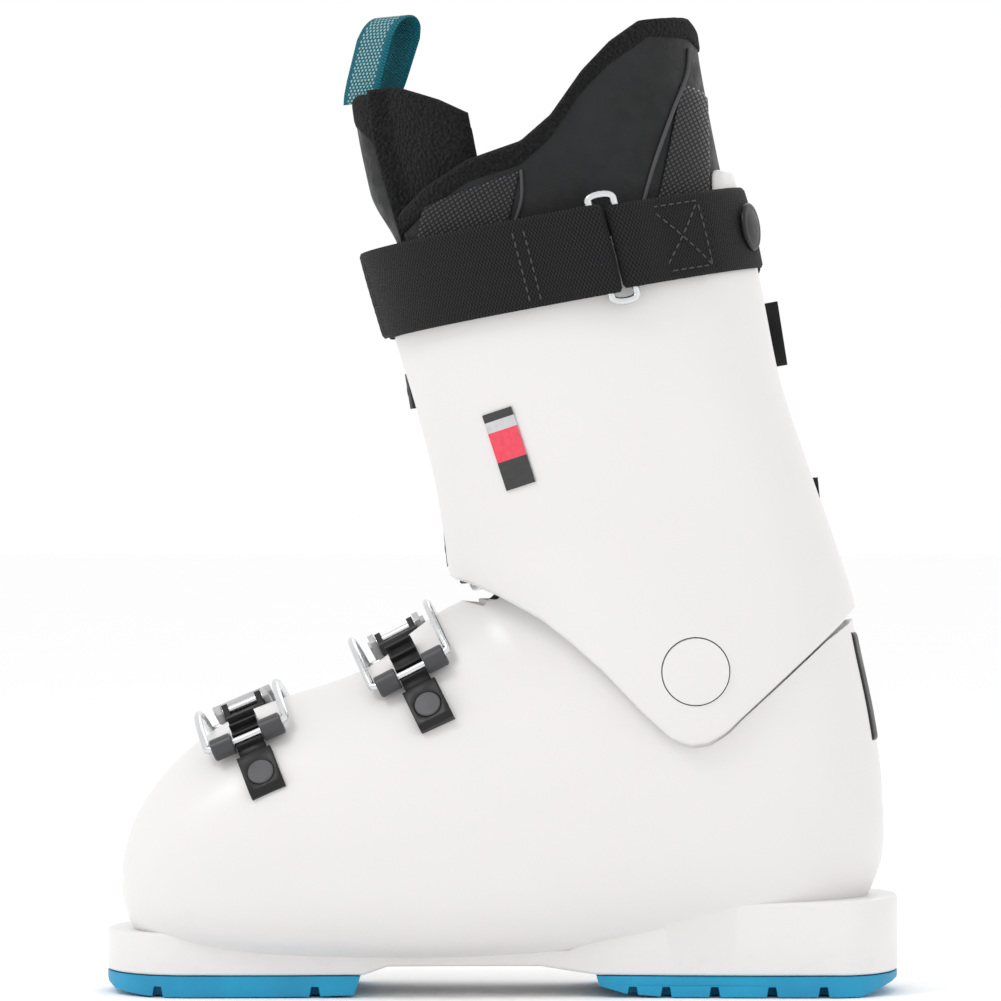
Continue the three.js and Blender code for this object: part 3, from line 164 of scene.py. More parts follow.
def level_at(t, depth, edge):
    """The level where the leg form crosses a side-view edge(x, y) -> z."""
    t, depth = np.broadcast_arrays(np.asarray(t, float), np.asarray(depth, float))
    low, high = np.zeros(t.shape), np.full(t.shape, len(LEG_ROWS) - 1.0)
    for _ in range(26):
        h = (low + high) / 2
        p = leg_point(h, t, depth)
        under = p[..., 2] < edge(p[..., 0], p[..., 1])
        low, high = np.where(under, h, low), np.where(under, high, h)
    return (low + high) / 2


def ring_of(rows, p):
    """The fractional row whose plane holds each point, or nan."""
    def side(u):
        fx, fz, rx, rz = np.moveaxis(between(rows[:, :4], u), -1, 0)
        return (fx - rx) * (p[..., 2] - rz) - (fz - rz) * (p[..., 0] - rx)

    low = np.zeros(p.shape[:-1])
    high = np.full(p.shape[:-1], len(rows) - 1.0)
    rising = side(low) > 0
    missed = rising == (side(high) > 0)
    for _ in range(28):
        u = (low + high) / 2
        same = (side(u) > 0) == rising
        low, high = np.where(same, u, low), np.where(same, high, u)
    return np.where(missed, np.nan, low)


def inside_foot(p):
    u = ring_of(FOOT_ROWS, p)
    tx, tz, bx, bz, inner, outer, belly, n_up, n_down = np.moveaxis(between(FOOT_ROWS, np.nan_to_num(u)), -1, 0)
    span = np.hypot(tx - bx, tz - bz)
    along = ((p[..., 0] - bx) * (tx - bx) + (p[..., 2] - bz) * (tz - bz)) / span - belly * span
    n = np.where(along > 0, n_up, n_down)
    c = np.abs(along) / (span * np.where(along > 0, 1 - belly, belly))
    s = np.abs(p[..., 1]) / np.where(p[..., 1] > 0, inner, outer)
    return ~np.isnan(u) & (c**n + s**n < 1)


def inside_leg(p):
    h = ring_of(LEG_ROWS, p)
    fx, fz, rx, rz, half, n = np.moveaxis(between(LEG_ROWS, np.nan_to_num(h)), -1, 0)
    span = np.hypot(fx - rx, fz - rz)
    along = ((p[..., 0] - rx) * (fx - rx) + (p[..., 2] - rz) * (fz - rz)) / span - span / 2
    return ~np.isnan(h) & ((np.abs(along) / (span / 2)) ** n + (np.abs(p[..., 1]) / half) ** n < 1)


def reach(inside, start, direction):
    start, direction = np.broadcast_arrays(np.asarray(start, float), np.asarray(direction, float))
    low, high = np.zeros(start.shape[:-1]), np.full(start.shape[:-1], 120.0)
    for _ in range(24):
        r = (low + high) / 2
        held = inside(start + direction * r[..., None])
        low, high = np.where(held, r, low), np.where(held, high, r)
    return low


def run_of(path):
    """The length run at each point of a path."""
    return np.r_[0, np.cumsum(np.linalg.norm(np.diff(path, axis=0), axis=1))]


def along_path(path, at):
    """The places at given lengths of a path."""
    steps = run_of(path)
    return np.stack([np.interp(at, steps, row) for row in path.T], -1)


class Section:
    """A plane across the boot: s runs along the skin, g stands over it, n goes along the plane's normal."""

    def __init__(self, inside, centre, up):
        self.centre, self.up = np.array(centre, float), np.array(up, float)
        self.across = np.array([0.0, 1.0, 0.0])
        self.normal = np.cross(self.across, self.up)
        angles = np.radians(np.arange(-178, 179, 2.0))
        rays = np.cos(angles)[:, None] * self.up + np.sin(angles)[:, None] * self.across
        starts = self.centre + np.array([-12, -6, 0, 6, 12.0])[:, None] * self.normal
        r = reach(inside, starts[:, None, :], rays[None]).max(0)
        self.skin = np.stack([r * np.sin(angles), r * np.cos(angles)], -1)
        steps = run_of(self.skin)
        self.lengths = steps - steps[len(angles) // 2]

    def flat(self, s):
        return np.array([np.interp(s, self.lengths, self.skin[:, k]) for k in (0, 1)])

    def spot(self, s, g, n=0.0):
        along = self.flat(s + 2) - self.flat(s - 2)
        along /= np.hypot(*along)
        a, b = self.flat(s) + np.array([-along[1], along[0]]) * g
        return self.centre + self.across * a + self.up * b + self.normal * n


def tilted(degrees):
    return math.sin(RAD(degrees)), 0, math.cos(RAD(degrees))


def level(degrees):
    return math.cos(RAD(degrees)), 0, -math.sin(RAD(degrees))


SECTIONS = {
    "toe": Section(inside_foot, (66, 0, 43), tilted(23)),
    "instep": Section(inside_foot, (9, 0, 66), tilted(27)),
    "lower_cuff": Section(inside_leg, (-42, 0, 154), level(6)),
    "upper_cuff": Section(inside_leg, (-25, 0, 210), level(9)),
}


def hem_at(x, y=0, t=0):
    return line_at(CUFF_HEM, x)


def strap_mid(x):
    return 232.5 - 0.183 * (x - 41)


def cuff_top(x, y, t=0):
    base = strap_mid(x) + 4
    share = np.sin(np.clip((27 - np.abs(y)) / 9, 0, 1) * math.pi / 2)
    return np.where(x > -30, base, base + (274 - base) * share)


def collar_at(x, y=0, t=0):
    return line_at(COLLAR_TOP, x)


# ---- Making pieces ----
def nothing_selected():
    bpy.ops.object.select_all(action="DESELECT")


def only(obj):
    nothing_selected()
    obj.select_set(True)
    bpy.context.view_layer.objects.active = obj
    return obj


def settle(obj):
    """Puts the object at the origin, with its place in its mesh."""
    only(obj)
    bpy.ops.object.transform_apply(location=True, rotation=True, scale=True)
    return obj


def smooth_shaded(obj, degrees=35):
    only(obj)
    bpy.ops.object.shade_smooth_by_angle(angle=RAD(degrees))
    return obj


def modified(obj, kind, **settings):
    """Adds a modifier and applies it."""
    only(obj)
    modifier = obj.modifiers.new(kind.title(), kind)
    for key, value in settings.items():
        setattr(modifier, key, value)
    bpy.ops.object.modifier_apply(modifier=modifier.name)
    return obj


def cut(obj, tool, operation="DIFFERENCE"):
    """Cuts a piece with a tool, which is used up."""
    modified(obj, "BOOLEAN", object=tool, operation=operation, solver="MANIFOLD")
    bpy.data.objects.remove(tool)
    return obj


def mesh_piece(name, points, faces, uv=None):
    mesh = bpy.data.meshes.new(name)
    mesh.from_pydata((np.asarray(points) * MM).tolist(), [], faces)
    if uv is not None:
        layer = mesh.uv_layers.new(name="Cloth")
        loops = np.empty(len(mesh.loops), int)
        mesh.loops.foreach_get("vertex_index", loops)
        layer.data.foreach_set("uv", np.asarray(uv)[loops].astype(np.float32).ravel())
    obj = bpy.data.objects.new(name, mesh)
    bpy.context.collection.objects.link(obj)
    only(obj)
    bpy.ops.object.mode_set(mode="EDIT")
    bpy.ops.mesh.select_all(action="SELECT")
    bpy.ops.mesh.normals_make_consistent(inside=False)
    bpy.ops.object.mode_set(mode="OBJECT")
    return obj


def capped_rings(rings, points, first=0):
    """The faces over rings of points, with the two end rings capped."""
    k = first + np.arange(rings * points).reshape(rings, points)
    after = np.roll(k, -1, axis=1)
    quads = np.stack([k[:-1], after[:-1], after[1:], k[1:]], -1).reshape(-1, 4).tolist()
    return quads + [k[0].tolist(), k[-1].tolist()]


def ring_skin(name, grid, uv=None):
    """A closed skin over a grid of closed rings, [ring, point, xyz]."""
    return mesh_piece(name, grid.reshape(-1, 3), capped_rings(*grid.shape[:2]), uv)


def endless_skin(name, grid):
    """A closed skin over closed rings, where the last ring meets the first."""
    rings, points = grid.shape[:2]
    k = np.arange(rings * points).reshape(rings, points)
    after = np.roll(k, -1, axis=1)
    quads = np.stack([k, after, np.roll(after, -1, 0), np.roll(k, -1, 0)], -1)
    return mesh_piece(name, grid.reshape(-1, 3), quads.reshape(-1, 4).tolist())


def circle(sides):
    return np.linspace(0, math.tau, sides, endpoint=False)


def foot_form(name, depth, sole_depth, start, end, rings, sides):
    """The foot's closed form, inset by depth, with its own sole_depth(u) below."""
    u = np.linspace(start, end, rings)
    sole = np.array([sole_depth(v) for v in u])[:, None]
    return ring_skin(name, foot_point(u[:, None], circle(sides)[None], depth, sole))


def wrapped_sheet(name, t, depth_at, wall, low_edge, high_edge, rim, rows=40, shape=None, ends=0.0):
    """A thick sheet round the leg form over angles t, with rounded rims and, over ends millimetres, rounded ends."""
    arc = np.linspace(0, math.pi / 2, 5)
    top = [(rim * (1 - math.cos(a)), -rim + rim * math.sin(a)) for a in arc]
    top += [(wall - d, z) for d, z in reversed(top)]
    fullness = np.ones(t.shape)
    if ends:
        lead = np.array([0, 0.04, 0.12, 0.25, 0.42, 0.62, 0.85]) * ends / LEG_RADIUS * np.sign(t[-1] - t[0])
        inner = np.minimum(np.abs(t - t[0]), np.abs(t - t[-1])) > abs(lead[-1])
        t = np.concatenate([t[0] + lead, t[inner], (t[-1] - lead)[::-1]])
        near = np.clip(np.minimum(np.abs(t - t[0]), np.abs(t[-1] - t)) * LEG_RADIUS / ends, 0, 1)
        fullness = np.maximum(np.sqrt(1 - (1 - near) ** 2), 0.12)
    depth = depth_at(t)
    loops = []

    def loop(d, h):
        inset = wall / 2 + (d - wall / 2) * fullness
        p = leg_point(h, t, depth + inset)
        if shape is not None:
            p = leg_point(h, t, shape(t, p[..., 2]) + inset)
        loops.append(p)

    def at(edge, d, dz):
        return level_at(t, depth + d, lambda x, y: edge(x, y, t) + dz)

    low, high = at(low_edge, 0, rim), at(high_edge, 0, -rim)
    for f in np.linspace(0, 1, rows)[:-1]:
        loop(0, low + (high - low) * f)
    for d, dz in top:
        loop(d, at(high_edge, d, dz))
    low, high = at(low_edge, wall, rim), at(high_edge, wall, -rim)
    for f in np.linspace(1, 0, rows)[1:-1]:
        loop(wall, low + (high - low) * f)
    for d, dz in list(reversed(top))[:-1]:
        loop(d, at(low_edge, d, -dz))
    return ring_skin(name, np.stack(loops, 1))


def refined(node, bevel=0.3, segments=2):
    """A copy of a CAD piece with its edges rounded."""
    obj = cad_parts[node].copy()
    obj.data = obj.data.copy()
    obj.name = obj.data.name = node + "_finished"
    bpy.context.collection.objects.link(obj)
    obj.hide_render = obj.hide_viewport = False
    for key in list(obj.keys()):
        del obj[key]
    obj.parent = None
    obj.matrix_world = Matrix.Identity(4)
    only(obj)
    bpy.ops.object.mode_set(mode="EDIT")
    bpy.ops.mesh.select_all(action="SELECT")
    bpy.ops.mesh.remove_doubles(threshold=2e-6)
    bpy.ops.mesh.dissolve_limited(angle_limit=RAD(3))
    bpy.ops.object.mode_set(mode="OBJECT")
    if bevel:
        modified(obj, "BEVEL", width=bevel * MM, segments=segments, limit_method="ANGLE", angle_limit=RAD(40))
    return smooth_shaded(obj, 50)


def finish_piece(obj, material, body, nodes=()):
    obj.data.materials.clear()
    obj.data.materials.append(material)
    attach(obj, body)
    if nodes:
        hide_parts(*nodes)
    return obj


def finish_padded(obj, material, body, nodes=()):
    finish_piece(obj, material, body, nodes)


# ---- Materials ----
class Socket:
    """A node's output that can be used in sums."""

    def __init__(self, paint, out):
        self.paint, self.out = paint, out

    def maths(self, operation, other=0.0, third=0.0):
        return self.paint.node("ShaderNodeMath", "Value", operation=operation, inputs={0: self, 1: other, 2: third})

    def __add__(self, other):
        return self.maths("ADD", other)

    __radd__ = __add__

    def __sub__(self, other):
        return self.maths("SUBTRACT", other)

    def __rsub__(self, other):
        return (self * -1.0) + other

    def __mul__(self, other):
        return self.maths("MULTIPLY", other)

    __rmul__ = __mul__

    def __truediv__(self, other):
        return self.maths("DIVIDE", other)

    def __mod__(self, other):
        return self.maths("FLOORED_MODULO", other)

    def sine(self):
        return self.maths("SINE")

    def size(self):
        return self.maths("ABSOLUTE")

    def over(self, edge):
        return self.maths("GREATER_THAN", edge)

    def under(self, edge):
        return self.maths("LESS_THAN", edge)

    def floor(self):
        return self.maths("FLOOR")

    def at_least(self, other):
        return self.maths("MAXIMUM", other)

    def eased(self, low, high):
        return self.paint.node(
            "ShaderNodeMapRange", "Result", interpolation_type="SMOOTHSTEP", inputs={0: self, 1: low, 2: high},
        )


class Paint:
    """A material and the nodes that make it."""

    def __init__(self, name, colour, roughness, **constants):
        self.material = bpy.data.materials.new(name)
        self.material.use_nodes = True
        self.tree = self.material.node_tree
        self.shader = self.tree.nodes["Principled BSDF"]
        self.set("Base Color", colour)
        self.set("Roughness", roughness)
        for key, value in constants.items():
            self.set(key.replace("_", " "), value)
        self.material.diffuse_color = (*colour, 1)

    def set(self, key, value):
        self.plug(self.shader.inputs[key], value)

    def plug(self, socket, value):
        if isinstance(value, Socket):
            self.tree.links.new(value.out, socket)
        elif isinstance(value, tuple) and len(value) == 3 and socket.type == "RGBA":
            socket.default_value = (*value, 1)
        else:
            socket.default_value = value

    def node(self, kind, output=0, inputs=None, **settings):
        made = self.tree.nodes.new(kind)
        for key, value in settings.items():
            setattr(made, key, value)
        for key, value in (inputs or {}).items():
            self.plug(made.inputs[key], value)
        return Socket(self, made.outputs[output])

    def place(self):
        return self.node("ShaderNodeTexCoord", "Object")

    def split(self, vector):
        parts = self.tree.nodes.new("ShaderNodeSeparateXYZ")
        self.plug(parts.inputs[0], vector)
        return [Socket(self, parts.outputs[axis]) for axis in "XYZ"]

    def cloth(self):
        """The piece's own map: x along it, y across it, in metres."""
        return self.split(self.node("ShaderNodeUVMap", "UV", uv_map="Cloth"))[:2]

    def xyz(self):
        return self.split(self.place())

    def noise(self, scale, detail=3.0, roughness=0.5):
        inputs = {"Vector": self.place(), "Scale": scale, "Detail": detail, "Roughness": roughness}
        return self.node("ShaderNodeTexNoise", 0, inputs)

    def cells(self, scale):
        return self.node("ShaderNodeTexVoronoi", "Distance", {"Vector": self.place(), "Scale": scale})

    def blend(self, share, low, high):
        return self.node("ShaderNodeMix", 2, {0: share, 6: low, 7: high}, data_type="RGBA")

    def bump(self, height, distance):
        """A bump of up to distance millimetres."""
        settings = {"Height": height, "Distance": distance * MM, "Strength": 1.0}
        self.set("Normal", self.node("ShaderNodeBump", 0, settings))
        return self


def moulded(name, colour, roughness, grain, scale, wear=0.04, **constants):
    """Moulded plastic: a fine mould grain, faint flow mottling and slightly uneven gloss."""
    paint = Paint(name, colour, roughness, **constants)
    mottled = paint.noise(16, 4)
    fine = paint.noise(scale, 2, 0.6)
    dim = tuple(c * (1 - wear) for c in colour)
    paint.set("Base Color", paint.blend(mottled.eased(0.3, 0.7), dim, colour))
    scuffs = paint.noise(60, 6, 0.7)
    paint.set("Roughness", scuffs.eased(0.35, 0.75) * 0.14 + (roughness - 0.05))
    return paint.bump(fine + scuffs * 0.4, grain).material


def white_shell():
    paint = Paint(
        "white_shell", (0.76, 0.742, 0.735), 0.32, Coat_Weight=0.12, Coat_Roughness=0.25, Specular_IOR_Level=0.4,
    )
    paint.set("Subsurface Weight", 0.06)
    paint.set("Subsurface Radius", (1.0, 0.8, 0.6))
    paint.set("Subsurface Scale", 0.002)
    z = paint.xyz()[2]
    mottled = paint.noise(9, 3)
    # Patchy, darker brownish tone towards the bottom of the boot, fading out 5 cm above the floor.
    low = z.eased(0.05, 0.0)
    darker_low_patches = paint.noise(120, 5, 0.7).eased(0.5, 0.8) * low * 0.15
    colour = paint.blend(mottled.eased(0.35, 0.65), (0.752, 0.734, 0.727), (0.768, 0.75, 0.743))
    paint.set("Base Color", paint.blend(darker_low_patches, colour, (0.55, 0.52, 0.48)))
    scuffs = paint.noise(45, 6, 0.75)
    paint.set("Roughness", scuffs.eased(0.4, 0.8) * 0.07 + 0.29)
    grain = paint.noise(1400, 2, 0.6)
    swell = paint.noise(22, 2, 0.4)
    return paint.bump(grain * 0.5 + swell * 0.8 + scuffs * 0.15, 0.03).material


def wire_steel():
    paint = Paint("bright_steel_wire", (0.68, 0.69, 0.7), 0.22, Metallic=1.0)
    drawn = paint.noise(700, 3, 0.6)
    paint.set("Roughness", drawn.eased(0.3, 0.7) * 0.2 + 0.14)
    paint.set("Base Color", paint.blend(paint.noise(90, 3), (0.6, 0.61, 0.62), (0.74, 0.75, 0.76)))
    return paint.bump(drawn, 0.01).material


def webbing(name, dark, light, pitch=1.15, accent=None):
    """Woven strap: ribs across it, fine warp ends along it and a duller, hairy face."""
    paint = Paint(name, dark, 0.75, Sheen_Weight=0.04, Sheen_Roughness=0.45, Specular_IOR_Level=0.2)
    along, across = paint.cloth()
    step = pitch * MM
    column = (across / (step * 0.9)).floor()
    shifted = along / step + (column % 2.0) * 0.5
    rib = (shifted * math.tau).sine() * 0.5 + 0.5
    warp = ((across / (step * 0.9)) * math.tau).sine().size()
    hair = paint.noise(3500, 3, 0.7)
    height = rib * 0.7 + warp * 0.5 + hair * 0.5
    shade = (rib * 0.55 + warp * 0.25 + hair * 0.35).eased(0.2, 1.1)
    colour = paint.blend(shade, dark, light)
    if accent:
        tint, band = accent
        mark = ((along / (step * 2.2) + column * 0.5) % 1.0).under(0.32)
        spot = mark * (1.0 - band(across))
        colour = paint.blend(spot, colour, tint)
    paint.set("Base Color", colour)
    paint.set("Roughness", 0.9 - shade * 0.25)
    return paint.bump(height, 0.28).material


def smooth_lining():
    paint = Paint(
        "smooth_black_lining", (0.022, 0.023, 0.025), 0.5, Sheen_Weight=0.02, Sheen_Roughness=0.4,
        Specular_IOR_Level=0.22,
    )
    pebble = paint.cells(1500)
    patchy = paint.noise(30, 4)
    paint.set("Base Color", paint.blend(patchy.eased(0.3, 0.7), (0.009, 0.0095, 0.01), (0.017, 0.018, 0.019)))
    paint.set("Roughness", paint.noise(200, 4).eased(0.3, 0.7) * 0.2 + 0.42)
    creases = paint.noise(14, 4, 0.6)
    return paint.bump(pebble * 0.4 + creases * 6.0, 0.25).material


def mesh_lining():
    """Textured overlay: small shiny diamonds in rows on a dull ground."""
    paint = Paint("textured_black_overlay", (0.02, 0.02, 0.022), 0.5, Specular_IOR_Level=0.4)
    x, _, z = paint.xyz()
    lean = x + z * 0.35
    rise = z - x * 0.2
    step = 1.9 * MM
    a = ((lean + rise * 0.9) / step) % 1.0
    b = ((lean - rise * 0.9) / step) % 1.0
    stud = (a - 0.5).size().at_least((b - 0.5).size())
    raised = 1.0 - stud.eased(0.26, 0.42)
    paint.set("Base Color", paint.blend(raised, (0.004, 0.004, 0.005), (0.034, 0.035, 0.037)))
    paint.set("Roughness", 0.75 - raised * 0.38)
    return paint.bump(raised + paint.noise(900, 2) * 0.15, 0.3).material


def fleece():
    paint = Paint(
        "black_fleece", (0.009, 0.009, 0.01), 0.95, Sheen_Weight=0.05, Sheen_Roughness=0.6, Specular_IOR_Level=0.1,
    )
    fuzz = paint.noise(1100, 5, 0.8)
    tufts = paint.cells(700)
    paint.set("Base Color", paint.blend(fuzz.eased(0.35, 0.75), (0.003, 0.003, 0.0035), (0.022, 0.0225, 0.024)))
    return paint.bump(fuzz + tufts * 1.2, 0.9).material


def sole_rubber():
    paint = Paint("cyan_sole_pad", (0.0, 0.3, 0.52), 0.5)
    z = paint.xyz()[2]
    mottled = paint.noise(40, 5)
    colour = paint.blend(mottled.eased(0.3, 0.7), (0.0, 0.245, 0.44), (0.002, 0.31, 0.53))
    rub = paint.noise(260, 4, 0.7).eased(0.5, 0.75) * z.eased(0.003, 0.0)
    paint.set("Base Color", paint.blend(rub * 0.6, colour, (0.06, 0.2, 0.27)))
    paint.set("Roughness", mottled.eased(0.3, 0.7) * 0.15 + 0.45)
    return paint.bump(paint.noise(1300, 3, 0.6), 0.05).material


def label_print():
    """A printed sticker: plain bars of colour and no lettering."""
    paint = Paint("cuff_label_print", (0.8, 0.06, 0.1), 0.35, Coat_Weight=0.3, Coat_Roughness=0.2)
    x, _, z = paint.xyz()
    lean = RAD(18)
    height = (z - 0.181) * math.cos(lean) + (x + 0.002) * math.sin(lean)
    paper = paint.noise(500, 3).eased(0.3, 0.7)
    colour = paint.blend(paper, (0.012, 0.012, 0.014), (0.02, 0.02, 0.022))
    red = paint.blend(paper, (0.72, 0.035, 0.075), (0.8, 0.05, 0.09))
    grey = paint.blend(paper, (0.5, 0.5, 0.51), (0.58, 0.58, 0.59))
    colour = paint.blend(height.over(-0.0035) * height.under(0.0066), colour, red)
    colour = paint.blend(height.over(0.0066) * height.under(0.0102), colour, grey)
    paint.set("Base Color", colour)
    paint.set("Roughness", paper * 0.1 + 0.3)
    return paint.bump(paper, 0.01).material


def thread():
    paint = Paint("black_thread", (0.06, 0.06, 0.063), 0.7, Specular_IOR_Level=0.2)
    twist = paint.noise(2600, 2)
    paint.set("Base Color", paint.blend(twist, (0.035, 0.035, 0.037), (0.1, 0.1, 0.104)))
    return paint.bump(twist, 0.1).material


WHITE = white_shell()
CYAN = sole_rubber()
BLACK = moulded("satin_black_plastic", (0.012, 0.012, 0.013), 0.38, 0.03, 700, wear=0.3, Specular_IOR_Level=0.3)
GREY = moulded("dark_grey_plastic", (0.06, 0.061, 0.064), 0.36, 0.03, 700, wear=0.12, Specular_IOR_Level=0.35)
RIVET = moulded("grey_rivet_plastic", (0.085, 0.086, 0.09), 0.4, 0.03, 700, wear=0.15, Specular_IOR_Level=0.3)
LEVER = moulded("light_grey_plastic", (0.5, 0.5, 0.51), 0.36, 0.03, 700, wear=0.08)
STEEL = wire_steel()
STRAP = webbing("black_webbing", (0.004, 0.004, 0.0045), (0.024, 0.024, 0.026))
LINING = smooth_lining()
OVERLAY = mesh_lining()
FLEECE = fleece()
PIPING = moulded("grey_piping", (0.06, 0.06, 0.064), 0.5, 0.06, 1200, Specular_IOR_Level=0.3)
PRINT = label_print()
THREAD = thread()
FOAM = moulded("grey_board_foam", (0.14, 0.145, 0.15), 0.8, 0.1, 600)
TEAL = webbing(
    "teal_patterned_webbing", (0.0, 0.07, 0.095), (0.01, 0.2, 0.25), 1.0,
    ((0.35, 0.5, 0.52), lambda across: (across - 0.009).size().over(0.0062)),
)
TEAL_INSIDE = webbing("teal_webbing_inside", (0.0, 0.09, 0.12), (0.0, 0.24, 0.31), 1.0)


# ---- Lower shell ----
def pegged(name, start, end, radius, sides):
    """A round peg between two points, in millimetres."""
    start, end = Vector(start) * MM, Vector(end) * MM
    nothing_selected()
    bpy.ops.mesh.primitive_cylinder_add(
        vertices=sides, radius=radius * MM, depth=(end - start).length, location=(start + end) / 2,
        rotation=(end - start).to_track_quat("Z", "Y").to_euler(),
    )
    obj = bpy.context.object
    obj.name = obj.data.name = name
    return settle(obj)


def across_pivot(name, radius, sides):
    """A peg through the whole boot at the cuff's hinge."""
    return pegged(name, (PIVOT[0], -70, PIVOT[1]), (PIVOT[0], 70, PIVOT[1]), radius, sides)


def between_rings(name, one, two):
    """A solid between two outlines of the same number of points."""
    return mesh_piece(name, [*one, *two], capped_rings(2, len(one)))


def prism(name, outline, y0, y1):
    """A side-view outline (x, z) pushed across the boot."""
    return between_rings(name, *([(x, y, z) for x, z in outline] for y in (y0, y1)))


def bezier(a, b, c, d, steps=24):
    f = np.linspace(0, 1, steps, endpoint=False)[:, None]
    a, b, c, d = (np.array(p, float) for p in (a, b, c, d))
    return (1 - f) ** 3 * a + 3 * (1 - f) ** 2 * f * b + 3 * (1 - f) * f**2 * c + f**3 * d


def sole_plan(name, z0, z1):
    toe, heel, waist = 34.5, 35.0, 31.0
    front, rear = HALF_SOLE, -HALF_SOLE

    def arc(cx, rx, ry, a0, a1):
        a = np.linspace(a0, a1, 40, endpoint=False)
        return np.stack([cx + rx * np.cos(a), ry * np.sin(a)], -1)

    outline = np.concatenate([
        arc(front - toe * 0.82, toe * 0.82, toe, -math.pi / 2, math.pi / 2),
        bezier((front - toe * 0.82, toe), (70, toe), (60, waist + 2), (10, waist)),
        bezier((10, waist), (-30, waist - 1), (-50, heel), (rear + heel, heel)),
        arc(rear + heel * 0.62, heel * 0.62, heel, math.pi / 2, math.pi * 1.5),
        bezier((rear + heel, -heel), (-50, -heel), (-30, -waist + 1), (10, -waist)),
        bezier((10, -waist), (60, -waist - 2), (70, -toe), (front - toe * 0.82, -toe)),
    ])
    return between_rings(name, *([(x, y, z) for x, y in outline] for z in (z0, z1)))


def cuff_room(turn):
    """The room that the cuff sweeps outside the shell, at one turn of its hinge."""
    t = -circle(160)
    under_cuff = RUNNING_GAP + CUFF_WALL + cuff_depth(np.mod(FLAP_END - t, math.tau))
    outside, above = -14, 6.0
    rows = []
    for depth, low in ((outside, True), (outside, False), (under_cuff, False), (under_cuff, True)):
        h = level_at(t, depth, lambda x, y: hem_at(x) - RUNNING_GAP) if low else np.full(t.shape, above)
        rows.append(leg_point(h, t, depth))
    room = endless_skin("cuff_room", np.stack(rows, 1))
    about = Vector((PIVOT[0], 0, PIVOT[1])) * MM
    room.data.transform(Matrix.Translation(about) @ Matrix.Rotation(RAD(turn), 4, "Y") @ Matrix.Translation(-about))
    return room


def lower_shell():
    shell = foot_form("lower_shell_moulding", 0, lambda u: 0, 0, 17, 150, 144)
    sole = sole_plan("sole", -2, 45)
    profile = [
        (-140, 7.2), (-32, 7.2), (-22, 8.6), (-13, 10), (38, 10), (46, 7.2), (140, 7.2), (140, 21), (96, 21.6),
        (84, 19), (74, 16.4), (-22, 15.5), (-36, 24), (-46, 30), (-140, 32.5),
    ]
    cut(sole, prism("sole_profile", profile, -60, 60), "INTERSECT")
    modified(sole, "BEVEL", width=1.1 * MM, segments=3, limit_method="ANGLE", angle_limit=RAD(50))
    cut(shell, sole, "UNION")
    cavity = foot_form("cavity", SHELL_WALL, lambda u: float(line_at(SOLE_DEPTHS, u)), 0.5, 17, 90, 96)
    cut(shell, cavity)
    top = [(-150, 142), (-60, 150), (-8, 150), (40, 158), (40, 260), (-150, 260)]
    cut(shell, prism("top", top, -80, 80))
    throat = [(-20, 170), (-14, 142), (2, 131), (40, 131), (40, 170)]
    cut(shell, prism("throat", throat, -24, 24))
    for turn in CUFF_TURNS:
        cut(shell, cuff_room(turn))
    cut(shell, across_pivot("pivot_bore", 3.8, 48))
    return smooth_shaded(shell, 34)


def cuff_depth(turn):
    return (CUFF_WALL + FLAP_GAP) * (1 - smooth(turn, *FLAP_TUCK))


def hem_lifted(x, y, t):
    """The hem, which stands higher under the flap on top."""
    return hem_at(x) + HEM_LIFT * (1 - smooth(FLAP_END - t, *HEM_TUCK))


def cuff():
    made = wrapped_sheet(
        "cuff_moulding", FLAP_END - np.linspace(0, math.tau + FLAP_END + FLAP_LAP, 300),
        lambda t: cuff_depth(FLAP_END - t), CUFF_WALL, hem_lifted, cuff_top, 1.2, 56, ends=2,
    )
    return smooth_shaded(cut(made, across_pivot("pivot_hole", PIVOT_CAP + 0.35, 96)), 38)


def pivot_cap(name, side):
    outside = side * float(reach(inside_leg, (PIVOT[0], 0, PIVOT[1]), (0, side, 0)))
    sunk, proud = outside - side * 3.8, outside + side * 0.1
    cap = pegged(name, (PIVOT[0], sunk, PIVOT[1]), (PIVOT[0], proud, PIVOT[1]), PIVOT_CAP, 96)
    modified(cap, "BEVEL", width=0.5 * MM, segments=3, limit_method="ANGLE", angle_limit=RAD(50))
    return smooth_shaded(cap, 40)


finish_piece(lower_shell(), WHITE, "shell", ["lower_shell"])
finish_piece(cuff(), WHITE, "cuff", ["cuff"])
for side, word in ((1, "inner"), (-1, "outer")):
    finish_piece(pivot_cap(f"pivot_cap_{word}_face", side), WHITE, "shell", [f"pivot_cap_{word}"])
for pad in ("toe_sole_pad", "heel_sole_pad"):
    finish_piece(refined(pad, bevel=0.5, segments=3), CYAN, "shell", [pad])
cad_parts["boot_board"].data.materials.clear()
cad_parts["boot_board"].data.materials.append(FOAM)
finish_piece(refined("cuff_label", bevel=0), PRINT, "cuff", ["cuff_label"])


# ---- Rounds, wires and stitches ----
def frames_along(path):
    """Directions along a path, and two square to them that don't twist."""
    along = np.gradient(path, axis=0)
    along /= np.linalg.norm(along, axis=1, keepdims=True)
    side = np.cross(np.array([0.31, 0.17, 0.93]), along[0])
    sides = []
    for a in along:
        side = side - a * (side @ a)
        side = side / np.linalg.norm(side)
        sides.append(side)
    sides = np.array(sides)
    return along, sides, np.cross(along, sides)


def rounds(a, b, sides):
    """Unit circles in the planes of a and b, one for each point of a path."""
    turn = circle(sides)[None, :, None]
    return a[:, None] * np.cos(turn) + b[:, None] * np.sin(turn)


